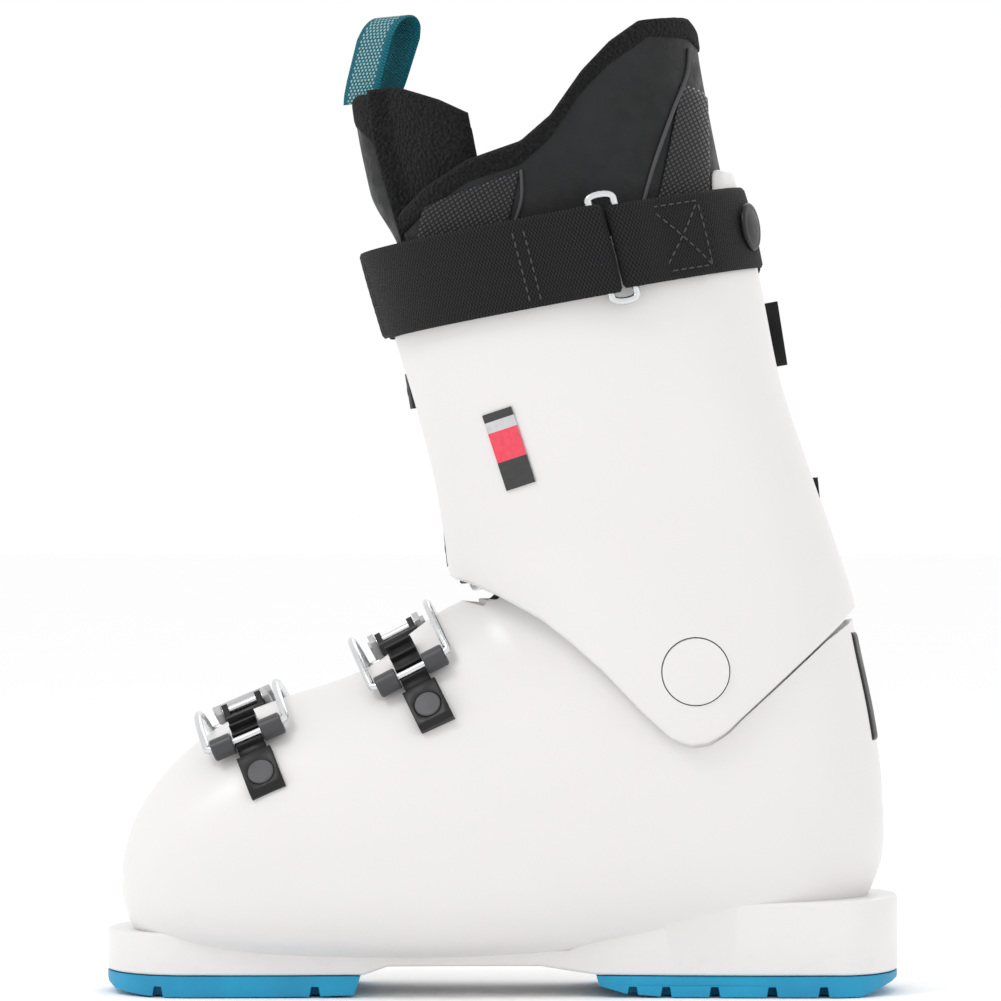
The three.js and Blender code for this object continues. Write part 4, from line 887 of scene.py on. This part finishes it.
def wire(name, path, radius, sides=16):
    """A round wire with rounded ends, in millimetres."""
    path = np.asarray(path, float)
    along, a, b = frames_along(path)
    ring = rounds(a, b, sides)
    tips = []
    for k, way in ((0, -1), (-1, 1)):
        for f in (0.92, 0.6):
            step = path[k] + along[k] * way * 0.8 * radius * math.sqrt(1 - f * f)
            tips.append(step + ring[k] * radius * f)
    grid = np.concatenate([[tips[1], tips[0]], path[:, None] + ring * radius, [tips[2], tips[3]]])
    return smooth_shaded(ring_skin(name, grid), 60)


def eased_corners(points, times=3):
    """Cuts the corners off a path, again and again."""
    points = np.asarray(points, float)
    for _ in range(times):
        a, b = points[:-1], points[1:]
        mid = np.stack([a * 0.75 + b * 0.25, a * 0.25 + b * 0.75], 1).reshape(-1, 3)
        points = np.concatenate([points[:1], mid, points[-1:]])
    return points


def turned(name, base, tip, profile, sides=64):
    """A profile of (radius, height) turned round the line from base to tip."""
    base, tip = np.array(base, float), np.array(tip, float)
    up = (tip - base) / np.linalg.norm(tip - base)
    a = np.cross(up, [0.3, 0.2, 0.9])
    a /= np.linalg.norm(a)
    b = np.cross(up, a)
    turn = circle(sides)[:, None]
    rim = np.cos(turn) * a + np.sin(turn) * b
    return smooth_shaded(ring_skin(name, np.stack([base + up * h + rim * r for r, h in profile])), 38)


def stitched(name, seams):
    """A row of thread stitches along each seam, joined in one piece."""
    length, gap, thick, sides = 2.1, 0.9, 0.34, 6
    shares = np.array([0, 0.12, 0.5, 0.88, 1.0])
    girth = np.array([0.2, 0.8, 1, 0.8, 0.2])[:, None, None] * thick
    points, faces = [], []
    for seam in seams:
        for start in np.arange(0.2, run_of(seam)[-1] - length, length + gap):
            p = along_path(seam, start + shares * length)
            _, a, b = frames_along(p)
            faces += capped_rings(len(shares), sides, len(points) * len(shares) * sides)
            points.append((p[:, None] + rounds(a, b, sides) * girth).reshape(-1, 3))
    return smooth_shaded(mesh_piece(name, np.concatenate(points), faces), 60)


# ---- Liner ----
LINER_EDGE = RAD(29)
LINER_SPLIT = [(-150, 154), (-60, 164), (60, 182)]
SPLIT_GAP = 6.6


def liner_depth(t):
    turn = FLAP_END - t
    tuck = cuff_depth(np.where(turn > 0, turn, turn + math.tau))
    return CUFF_WALL + SHAFT_GAP + np.where(t > FLAP_END + 0.2, 0, tuck)


def wrapped_angle(t):
    return np.where(t < -math.pi, t + math.tau, t)


def shaft_depth(t, z, out=0.0):
    puff = 0.5 * np.sin(np.clip((z - 250) / 60, 0, 1) * math.pi)
    return liner_depth(wrapped_angle(t)) - smooth(z, 250, 285) * 1.2 - puff - out


def shaft_foot(x, y=0, t=0):
    return line_at(LINER_SPLIT, x) + SPLIT_GAP


def round_liner(start=0.0, end=1.0, count=260):
    u = np.linspace(start, end, count)
    return -LINER_EDGE - u * (math.tau - 2 * LINER_EDGE)


def liner_shaft():
    t = round_liner()
    return smooth_shaded(wrapped_sheet(
        "liner_shaft_body", t, lambda a: liner_depth(wrapped_angle(a)), LINER_WALL, shaft_foot,
        lambda x, y, a: collar_at(x) - 1.2, 1.5, 70, shaft_depth, 3,
    ), 50)


def collar_binding():
    t = round_liner()
    return smooth_shaded(wrapped_sheet(
        "collar_binding", t, lambda a: liner_depth(wrapped_angle(a)), LINER_WALL + 1.6,
        lambda x, y, a: collar_at(x) - 8.5 + 1.0 * np.sin(x / 5.5) * 0.3, collar_at, 2.4, 16,
        lambda a, z: shaft_depth(a, z, 0.8), 3,
    ), 60)


def on_leg(x, z, depth, side=1):
    """The place on the leg form, inset by depth, that shows at x, z from the side."""
    x, z = np.broadcast_arrays(np.asarray(x, float), np.asarray(z, float))
    p = np.stack([x, np.zeros_like(x), z], -1)
    h = ring_of(LEG_ROWS, p)
    fx, fz, rx, rz, _, n = np.moveaxis(between(LEG_ROWS, h), -1, 0)
    span = np.hypot(fx - rx, fz - rz)
    along = ((x - rx) * (fx - rx) + (z - rz) * (fz - rz)) / span
    share = np.clip((along - span / 2) / (span / 2 - depth), -0.9999, 0.9999)
    t = side * np.arccos(np.sign(share) * np.abs(share) ** (n / 2))
    return leg_point(h, t, depth), t


def pressed_rim(u, v, edge):
    """How full a patch stands over its own map, from 0 at its rim to 1."""
    rim = np.clip(np.minimum.reduce([u + 0 * v, 1 - u + 0 * v, v + 0 * u, 1 - v + 0 * u]) / edge, 0, 1)
    return np.sqrt(1 - (1 - rim) ** 2)


def patch(name, outer, inner):
    """A closed piece between two grids of points."""
    rows, cols = outer.shape[:2]
    k = np.arange(rows * cols).reshape(rows, cols)
    m = k + rows * cols
    quads = [np.stack([k[:-1, :-1], k[1:, :-1], k[1:, 1:], k[:-1, 1:]], -1).reshape(-1, 4)]
    quads.append(np.stack([m[:-1, :-1], m[:-1, 1:], m[1:, 1:], m[1:, :-1]], -1).reshape(-1, 4))
    rim = np.concatenate([k[0, :-1], k[:-1, -1], k[-1, :0:-1], k[:0:-1, 0]])
    after = np.roll(rim, -1)
    quads.append(np.stack([rim, after, after + rows * cols, rim + rows * cols], -1))
    points = np.concatenate([outer.reshape(-1, 3), inner.reshape(-1, 3)])
    return smooth_shaded(mesh_piece(name, points, np.concatenate(quads).tolist()), 60)


def overlay(name, left, right, low, high, side):
    """A textured patch on the liner between two slanted sides and two edge lines, with its rim pressed down."""
    v = np.linspace(0, 1, 44)[None]
    u = np.linspace(0, 1, 60)[:, None]
    x = left(v) * (1 - u) + right(v) * u
    z = low(x) * (1 - v) + high(x) * v
    crown = 0.9 * pressed_rim(u, v, 0.06)
    _, t = on_leg(x, z, 6, side)
    outer, _ = on_leg(x, z, shaft_depth(t, z) - crown + 0.05, side)
    inner, _ = on_leg(x, z, shaft_depth(t, z) + 0.8, side)
    return patch(name, outer, inner)


def spine_plate():
    """The black strip let into the shell's back, with its rim rounded."""
    u = np.linspace(0, 1, 40)[:, None]
    v = np.linspace(0, 1, 56)[None]
    y, z = 13.8 * (2 * u - 1) + 0 * v, 84 + 36 * v + 0 * u
    skin = -80 - reach(inside_foot, np.stack([-80 + 0 * y, y, z], -1), (-1.0, 0, 0))
    outer = np.stack([skin - 0.65 * pressed_rim(u, v, 0.05), y, z], -1)
    inner = np.stack([skin + 1.1, y, z], -1)
    return patch("spine_strip", outer, inner)


def piped(name, line, radius, side):
    x, z = between(np.array(line, float), np.linspace(0, len(line) - 1, 60)).T
    _, t = on_leg(x, z, 6, side)
    path, _ = on_leg(x, z, shaft_depth(t, z) - 0.5, side)
    return wire(name, path, radius, 12)


TONGUE_EDGE = RAD(28.1)
TONGUE_DEPTH = 2 * CUFF_WALL + FLAP_GAP + SHAFT_GAP
TONGUE_WALL = 12.0


def tongue_depth(t, z, out=0.0):
    lift = 5 * smooth(z, 248, 268) * np.cos(t / TONGUE_EDGE * math.pi / 2)
    return TONGUE_DEPTH - lift - out


def tongue_top(x, y, t=0):
    return 301 - 0.012 * y * y


def tongue():
    t = np.linspace(TONGUE_EDGE, -TONGUE_EDGE, 90)
    body = wrapped_sheet(
        "tongue_body", t, lambda a: TONGUE_DEPTH + 0 * a, TONGUE_WALL, lambda x, y, a: shaft_foot(x) + 1,
        lambda x, y, a: tongue_top(x, y) - 0.8, 3.5, 70, tongue_depth, 4,
    )
    return smooth_shaded(body, 55)


def tongue_fleece():
    t = np.linspace(TONGUE_EDGE * 0.99, -TONGUE_EDGE * 0.99, 90)
    band = wrapped_sheet(
        "tongue_fleece", t, lambda a: TONGUE_DEPTH + 0 * a, TONGUE_WALL + 1.2,
        lambda x, y, a: 288 - 0.035 * y * y, tongue_top, 4, 20, lambda a, z: tongue_depth(a, z, 0.6), 4,
    )
    return smooth_shaded(band, 60)


def tongue_wing(name, side):
    """The tongue's thin fleece wing, tucked inside the shaft on one side."""
    t = side * np.linspace(RAD(22), RAD(68), 70)
    top = [(-20, 270), (-8, 276), (-1, 280), (4, 286), (10, 291.5), (20, 296.5), (34, 301.5), (60, 302)]
    made = wrapped_sheet(
        name, t, lambda a: liner_depth(wrapped_angle(a)) + LINER_WALL + 0.5, 4.6, lambda x, y, a: shaft_foot(x) + 30,
        lambda x, y, a: line_at(top, x), 2.0, 40,
        lambda a, z: shaft_depth(a, z) + (LINER_WALL + 0.5) * smooth(np.abs(a), RAD(20), RAD(32)), 5,
    )
    return smooth_shaded(made, 60)


def liner_foot():
    heel_row = 12

    def sole(wall_low, wall_heel):
        return lambda u: float(line_at(SOLE_DEPTHS, u)) + (wall_low if u < heel_row else wall_heel)

    outer = foot_form("liner_foot_body", SHELL_WALL + 0.5, sole(5.9, 0.5), 1, 17, 90, 96)
    inner = foot_form("foot_room", SHELL_WALL + 6.5, sole(9.9, 6.5), 2, 17, 80, 96)
    cut(outer, inner)
    cut(outer, prism("liner_split", [*LINER_SPLIT, (60, 260), (-150, 260)], -80, 80))
    return smooth_shaded(outer, 40)


finish_piece(spine_plate(), BLACK, "shell", ["spine_plate"])
finish_padded(liner_foot(), LINING, "shell", ["liner_foot"])
finish_padded(liner_shaft(), LINING, "cuff", ["liner_shaft"])
finish_padded(tongue(), LINING, "cuff", ["tongue"])
finish_padded(collar_binding(), FLEECE, "cuff")
finish_padded(tongue_fleece(), FLEECE, "cuff")
for side, word in ((1, "inner"), (-1, "outer")):
    finish_padded(tongue_wing(f"tongue_wing_{word}", side), FLEECE, "cuff")
    finish_piece(overlay(
        f"rear_overlay_{word}", lambda v: -44 - 15 * v**0.7, lambda v: -69 + 0 * v, lambda x: 243 + 0 * x,
        lambda x: 300 + 0.25 * (x + 69), side,
    ), OVERLAY, "cuff")
    finish_piece(overlay(
        f"front_overlay_{word}", lambda v: 2 - 8 * v, lambda v: 30 - 3 * v, lambda x: 236 + 0 * x,
        lambda x: 267 - 0.35 * (x - 10), side,
    ), OVERLAY, "cuff")
    finish_piece(piped(
        f"rear_piping_{word}", [(-43, 243), (-44, 252), (-49, 272), (-56, 292), (-61, 305), (-62, 314)], 0.7, side,
    ), PIPING, "cuff")
    finish_piece(piped(
        f"front_piping_{word}", [(3, 237), (-2, 250), (-6, 262), (-6, 272)], 0.6, side,
    ), PIPING, "cuff")


# ---- Power strap ----
REAR_S = LEG_RADIUS * math.pi
STACKED = STRAP_LAY + STRAP_THICKNESS + 0.3
FOLD_HIGH = STRAP_LAY + 2 * (WIRE + 0.3 + STRAP_THICKNESS / 2)


def strap_spot(s, g, lift=0.0):
    t = np.asarray(s, float) / LEG_RADIUS
    h = level_at(t, 0, lambda x, y: strap_mid(x) + lift)
    return leg_point(h, t, -np.asarray(g, float))


def filled_path(points, step=1.6):
    points = np.asarray(points, float)
    length = run_of(points)[-1]
    return along_path(points, np.linspace(0, length, max(8, int(length / step))))


def fold_round(bar, way):
    middle, radius = (STRAP_LAY + FOLD_HIGH) / 2, (FOLD_HIGH - STRAP_LAY) / 2
    angle = np.linspace(-math.pi / 2, math.pi / 2, 14)
    return [(bar + way * radius * math.cos(a), middle + radius * math.sin(a)) for a in angle]


def edge_profile(half, thickness, count=26):
    """Round the webbing's section: places across it and over its middle, with rounded selvedges."""
    selvedge = 0.95
    top = []
    for a in np.linspace(-1, 1, count):
        drop = max(0, (abs(a) - selvedge) / (1 - selvedge)) ** 2
        top.append((a * half, 0.5 * thickness * (1 - 0.85 * drop)))
    return np.array(top + [(a, -b) for a, b in reversed(top)])


def webbing_section(path, profile, way=1):
    """The path's two measures at each point round the webbing's section."""
    step = np.gradient(path, axis=0)
    normal = way * np.stack([-step[:, 1], step[:, 0]], -1) / np.hypot(*step.T)[:, None]
    return (path[:, None] + normal[:, None] * profile[None, :, 1, None]).transpose(2, 0, 1)


def cloth_map(lengths, across):
    """The webbing's own map, in metres along it and across it."""
    along, across = np.broadcast_arrays(lengths[:, None], across[None])
    return np.stack([along, across], -1).reshape(-1, 2) * MM


def strap_band(name, points, half):
    path = filled_path(points)
    profile = edge_profile(half, STRAP_THICKNESS)
    s, g = webbing_section(path, profile)
    grid = strap_spot(s, g, profile[None, :, 0] + 0 * s)
    lengths = run_of(grid[:, [12, 38]].mean(1))
    made = smooth_shaded(ring_skin(name, grid, cloth_map(lengths, profile[:, 0] + half)), 50)
    return made, round(float(lengths[-1] * MM), 4)


def power_strap():
    main, length = strap_band("power_strap", [
        (-REAR_S + 9, STRAP_LAY), (RING_S - 6, STRAP_LAY), *fold_round(RING_S, 1),
        (RING_S - 4, FOLD_HIGH - 0.4), (RING_S - 12, STACKED), (6, STACKED),
    ], STRAP_WIDTH / 2)
    finish_piece(main, STRAP, "cuff", ["strap_main"])
    bar = RING_S + RING_SPAN
    tab, length = strap_band("strap_tab", [
        (REAR_S - 9, STRAP_LAY), (bar + 6, STRAP_LAY), *fold_round(bar, -1),
        (bar + 4, FOLD_HIGH - 0.4), (bar + 12, STACKED), (bar + 28, STACKED),
    ], TAB_WIDTH / 2)
    finish_piece(tab, STRAP, "cuff", ["strap_anchor"])


def strap_stitching():
    g = STACKED + STRAP_THICKNESS / 2 + 0.12
    corners = {"a": (113.5, -11), "b": (131, -11), "c": (131, 11), "d": (113.5, 11)}

    def seam(start, end, count=14):
        f = np.linspace(0, 1, count)
        s, across = (start[k] + (end[k] - start[k]) * f for k in (0, 1))
        return strap_spot(s, g, across)

    box = [seam(corners[one], corners[two]) for one, two in ("ab", "bc", "cd", "da", "ac", "bd")]
    cross = [seam((s, -13), (s, 13), 20) for s in (9, 12, 78, 81)]
    finish_piece(stitched("strap_stitches", box + cross), THREAD, "cuff")


def strap_ring():
    half, middle = 17.4, RING_S + RING_SPAN / 2
    angle = np.linspace(0, math.pi, 20)
    s = middle + RING_SPAN / 2 * np.cos(angle)
    lift = half - 1 + RING_SPAN / 4 * np.sin(angle)
    s, lift = np.concatenate([s, 2 * middle - s, s[:1]]), np.concatenate([lift, -lift, lift[:1]])
    path = strap_spot(s, (STRAP_LAY + FOLD_HIGH) / 2, lift)
    seam = (path[:1] + path[-2:-1]) / 2
    path = np.concatenate([seam, path[:-1], seam])
    path = along_path(path, np.linspace(0, run_of(path)[-1], 160)[:-1])
    along = np.roll(path, -1, 0) - np.roll(path, 1, 0)
    along /= np.linalg.norm(along, axis=1, keepdims=True)
    flat = np.cross(path[0] - path.mean(0), path[40] - path.mean(0))
    a = np.cross(along, flat / np.linalg.norm(flat))
    grid = path[:, None] + rounds(a, np.cross(along, a), 16) * WIRE
    finish_piece(smooth_shaded(endless_skin("steel_ring", grid), 60), STEEL, "cuff", ["strap_ring"])


def strap_rivets():
    top = STRAP_LAY + STRAP_THICKNESS / 2
    dome = [
        (0.5, 0), (7.6, 0), (8, 0.3), (8, 0.8), (7.7, 1.15), (6.9, 1.45), (6.3, 1.35), (5.9, 1.4), (4.6, 1.75),
        (2.4, 2.0), (0.4, 2.05),
    ]
    for word, s in (("inner", REAR_S - 20), ("outer", -REAR_S + 20)):
        base, tip = strap_spot(s, top + 0.5), strap_spot(s, top + 2.5)
        head = turned(f"strap_button_{word}", base, tip, dome)
        finish_piece(head, BLACK, "cuff", [f"strap_rivet_{word}"])


power_strap()
strap_stitching()
strap_ring()
strap_rivets()


# ---- Pull loop ----
def pull_loop():
    foot, half, top, width, thickness = 297.0, 5.5, 326, 18, 1.4
    centres = [(half - 1.5, foot), (half - 0.6, foot + 3), (half, foot + 8), (half + 0.6, top - half - 1.5)]
    centres += [(half * math.cos(a), top - half + half * math.sin(a)) for a in np.linspace(0.3, math.pi - 0.3, 16)]
    centres += [(-half - 0.6, top - half - 1.5), (-half, foot + 8), (-half + 0.6, foot + 3), (-half + 1.5, foot)]
    path = filled_path(centres, 0.9)
    profile = edge_profile(width / 2, thickness, 20)
    a, z = webbing_section(path, profile, -1)
    z = np.maximum(z, foot)
    turn = RAD(42)
    away, wide = (np.array(d) for d in ((math.cos(turn), math.sin(turn), 0), (-math.sin(turn), math.cos(turn), 0)))
    base = np.stack([44.5 - 0.28 * (z - foot), 0 * z, z], -1)
    grid = base + a[..., None] * away + profile[None, :, 0, None] * wide
    lengths = run_of(path)
    uv = cloth_map(lengths, profile[:, 0] + width / 2)
    loop = smooth_shaded(ring_skin("tongue_pull_loop", grid, uv), 50)
    finish_piece(loop, TEAL, "cuff", ["pull_loop"])
    loop.data.materials.append(TEAL_INSIDE)
    per = grid.shape[1]
    for face in loop.data.polygons:
        face.material_index = int(min(v % per for v in face.vertices) >= per // 2)


pull_loop()


# ---- Buckles ----
BAIL_HALF = 14.1
PIVOT_HIGH = 5
BAR_HIGH = 4.4
# Where the ladder starts and the lever's pin is, the ladder plate's length, and the rivet's radius.
BUCKLES = {
    "toe": (54, -16, 14.5, 4.4), "instep": (52, -15, 14.5, 4.4),
    "lower_cuff": (-15, -78, 11, 4.4), "upper_cuff": (-17, -80, 11, 4.4),
}


def buckle(name, start, pin_s, plate, head):
    spot = SECTIONS[name].spot
    host = "cuff" if name.endswith("cuff") else "shell"
    tone = BLACK if host == "cuff" else LEVER
    bar_s, pivot_s = start - plate - 5.2 - 3.4 + WIRE + 1.2, pin_s - 9

    finish_piece(refined(f"{name}_ladder", bevel=0.22, segments=2), BLACK, host, [f"{name}_ladder"])
    finish_piece(refined(f"{name}_buckle_base", bevel=0.3), BLACK, host, [f"{name}_buckle_base"])
    finish_piece(refined(f"{name}_lever", bevel=0.55, segments=3), tone, f"{name}_lever", [f"{name}_lever"])
    rivet = [
        (0.4, -3), (2.1, -3), (2.1, 0), (head - 0.1, 0), (head, 0.15), (head, 0.8), (head - 0.35, 1.1), (0.4, 1.14),
    ]
    s = start - plate / 2
    disc = turned(f"{name}_flush_rivet", spot(s, 1.75), spot(s, 4), rivet)
    finish_piece(disc, RIVET, host, [f"{name}_ladder_rivet"])
    button = [(0.4, -3), (2.1, -3), (2.1, 0), (3.6, 0), (3.8, 0.2), (3.6, 0.8), (2.6, 1.15), (0.4, 1.25)]
    knob = turned(f"{name}_base_button", spot(pivot_s, 2.2), spot(pivot_s, 4), button)
    finish_piece(knob, GREY, host, [f"{name}_base_rivet"])
    pin = [(0.3, 0), (1.3, 0), (1.5, 0.2), (1.5, 18.6), (1.3, 18.8), (0.3, 18.8)]
    made = turned(f"{name}_pin", spot(pin_s, PIVOT_HIGH, -9.4), spot(pin_s, PIVOT_HIGH, 9.4), pin, 32)
    finish_piece(made, STEEL, f"{name}_lever", [f"{name}_hinge_pin"])
    f = np.linspace(0, 1, 17)
    arm = np.stack([
        pivot_s + (bar_s - pivot_s) * f, PIVOT_HIGH + (BAR_HIGH - PIVOT_HIGH) * f + np.sin(f * math.pi) * 0.6,
        0 * f + BAIL_HALF,
    ], -1)
    half = [(pivot_s, PIVOT_HIGH, 7.9), *arm]
    whole = half + [(s, g, -n) for s, g, n in reversed(half)]
    path = eased_corners([spot(*p) for p in whole], 3)
    finish_piece(wire(f"{name}_wire_bail", path, WIRE), STEEL, f"{name}_bail", [f"{name}_bail"])
    barrel = [(1.35, 0), (3.2, 0), (3.7, 0.45), (3.7, 7.05), (3.2, 7.5), (1.35, 7.5)]
    for word, n in (("front", 1), ("rear", -1)):
        near, far = spot(bar_s, BAR_HIGH, 5 * n), spot(bar_s, BAR_HIGH, 12.5 * n)
        tube = turned(f"{name}_roller_{word}", near, far, barrel, 48)
        finish_piece(tube, GREY, f"{name}_bail", [f"{name}_bail_sleeve_{word}"])


for word, sizes in BUCKLES.items():
    buckle(word, *sizes)


# ---- Floor, light and camera ----
def studio():
    nothing_selected()
    bpy.ops.mesh.primitive_plane_add(size=30, location=(0, 0, -0.0003))
    floor = bpy.context.object
    floor.name = "studio_floor"
    paint = Paint("pale_floor", (0.985, 0.985, 0.985), 0.9, Specular_IOR_Level=0.1)
    paint.set("Base Color", paint.blend(paint.noise(3, 2), (0.975, 0.975, 0.975), (0.99, 0.99, 0.99)))
    floor.data.materials.append(paint.material)
    world = bpy.data.worlds.new("studio_air")
    bpy.context.scene.world = world
    world.use_nodes = True
    world.node_tree.nodes["Background"].inputs[0].default_value = (1, 1, 1, 1)
    world.node_tree.nodes["Background"].inputs[1].default_value = 1.0
    aim = Vector((0, 0, 0.15))
    for name, place, power_w, size in (
        ("key_light", (1.1, 0.9, 1.7), 9, 0.6),
        ("fill_light", (-1.3, 1.2, 0.7), 1.5, 1.4),
        ("back_light", (-0.4, -1.4, 1.3), 4, 1.0),
    ):
        lamp = bpy.data.lights.new(name, "AREA")
        lamp.energy, lamp.size = power_w, size
        obj = bpy.data.objects.new(name, lamp)
        bpy.context.collection.objects.link(obj)
        obj.location = place
        obj.rotation_euler = (aim - Vector(place)).to_track_quat("-Z", "Y").to_euler()
    lens = bpy.data.cameras.new("side_camera")
    camera = bpy.data.objects.new("side_camera", lens)
    bpy.context.collection.objects.link(camera)
    distance, view_width, film_mm = 1.9, 0.3363, 36
    lens.lens = film_mm * distance / view_width
    camera.location = (0.0007, distance, 0.164)
    camera.rotation_euler = (math.pi / 2, 0, math.pi)
    bpy.context.scene.camera = camera
    bpy.context.scene.view_settings.view_transform = "Standard"


studio()
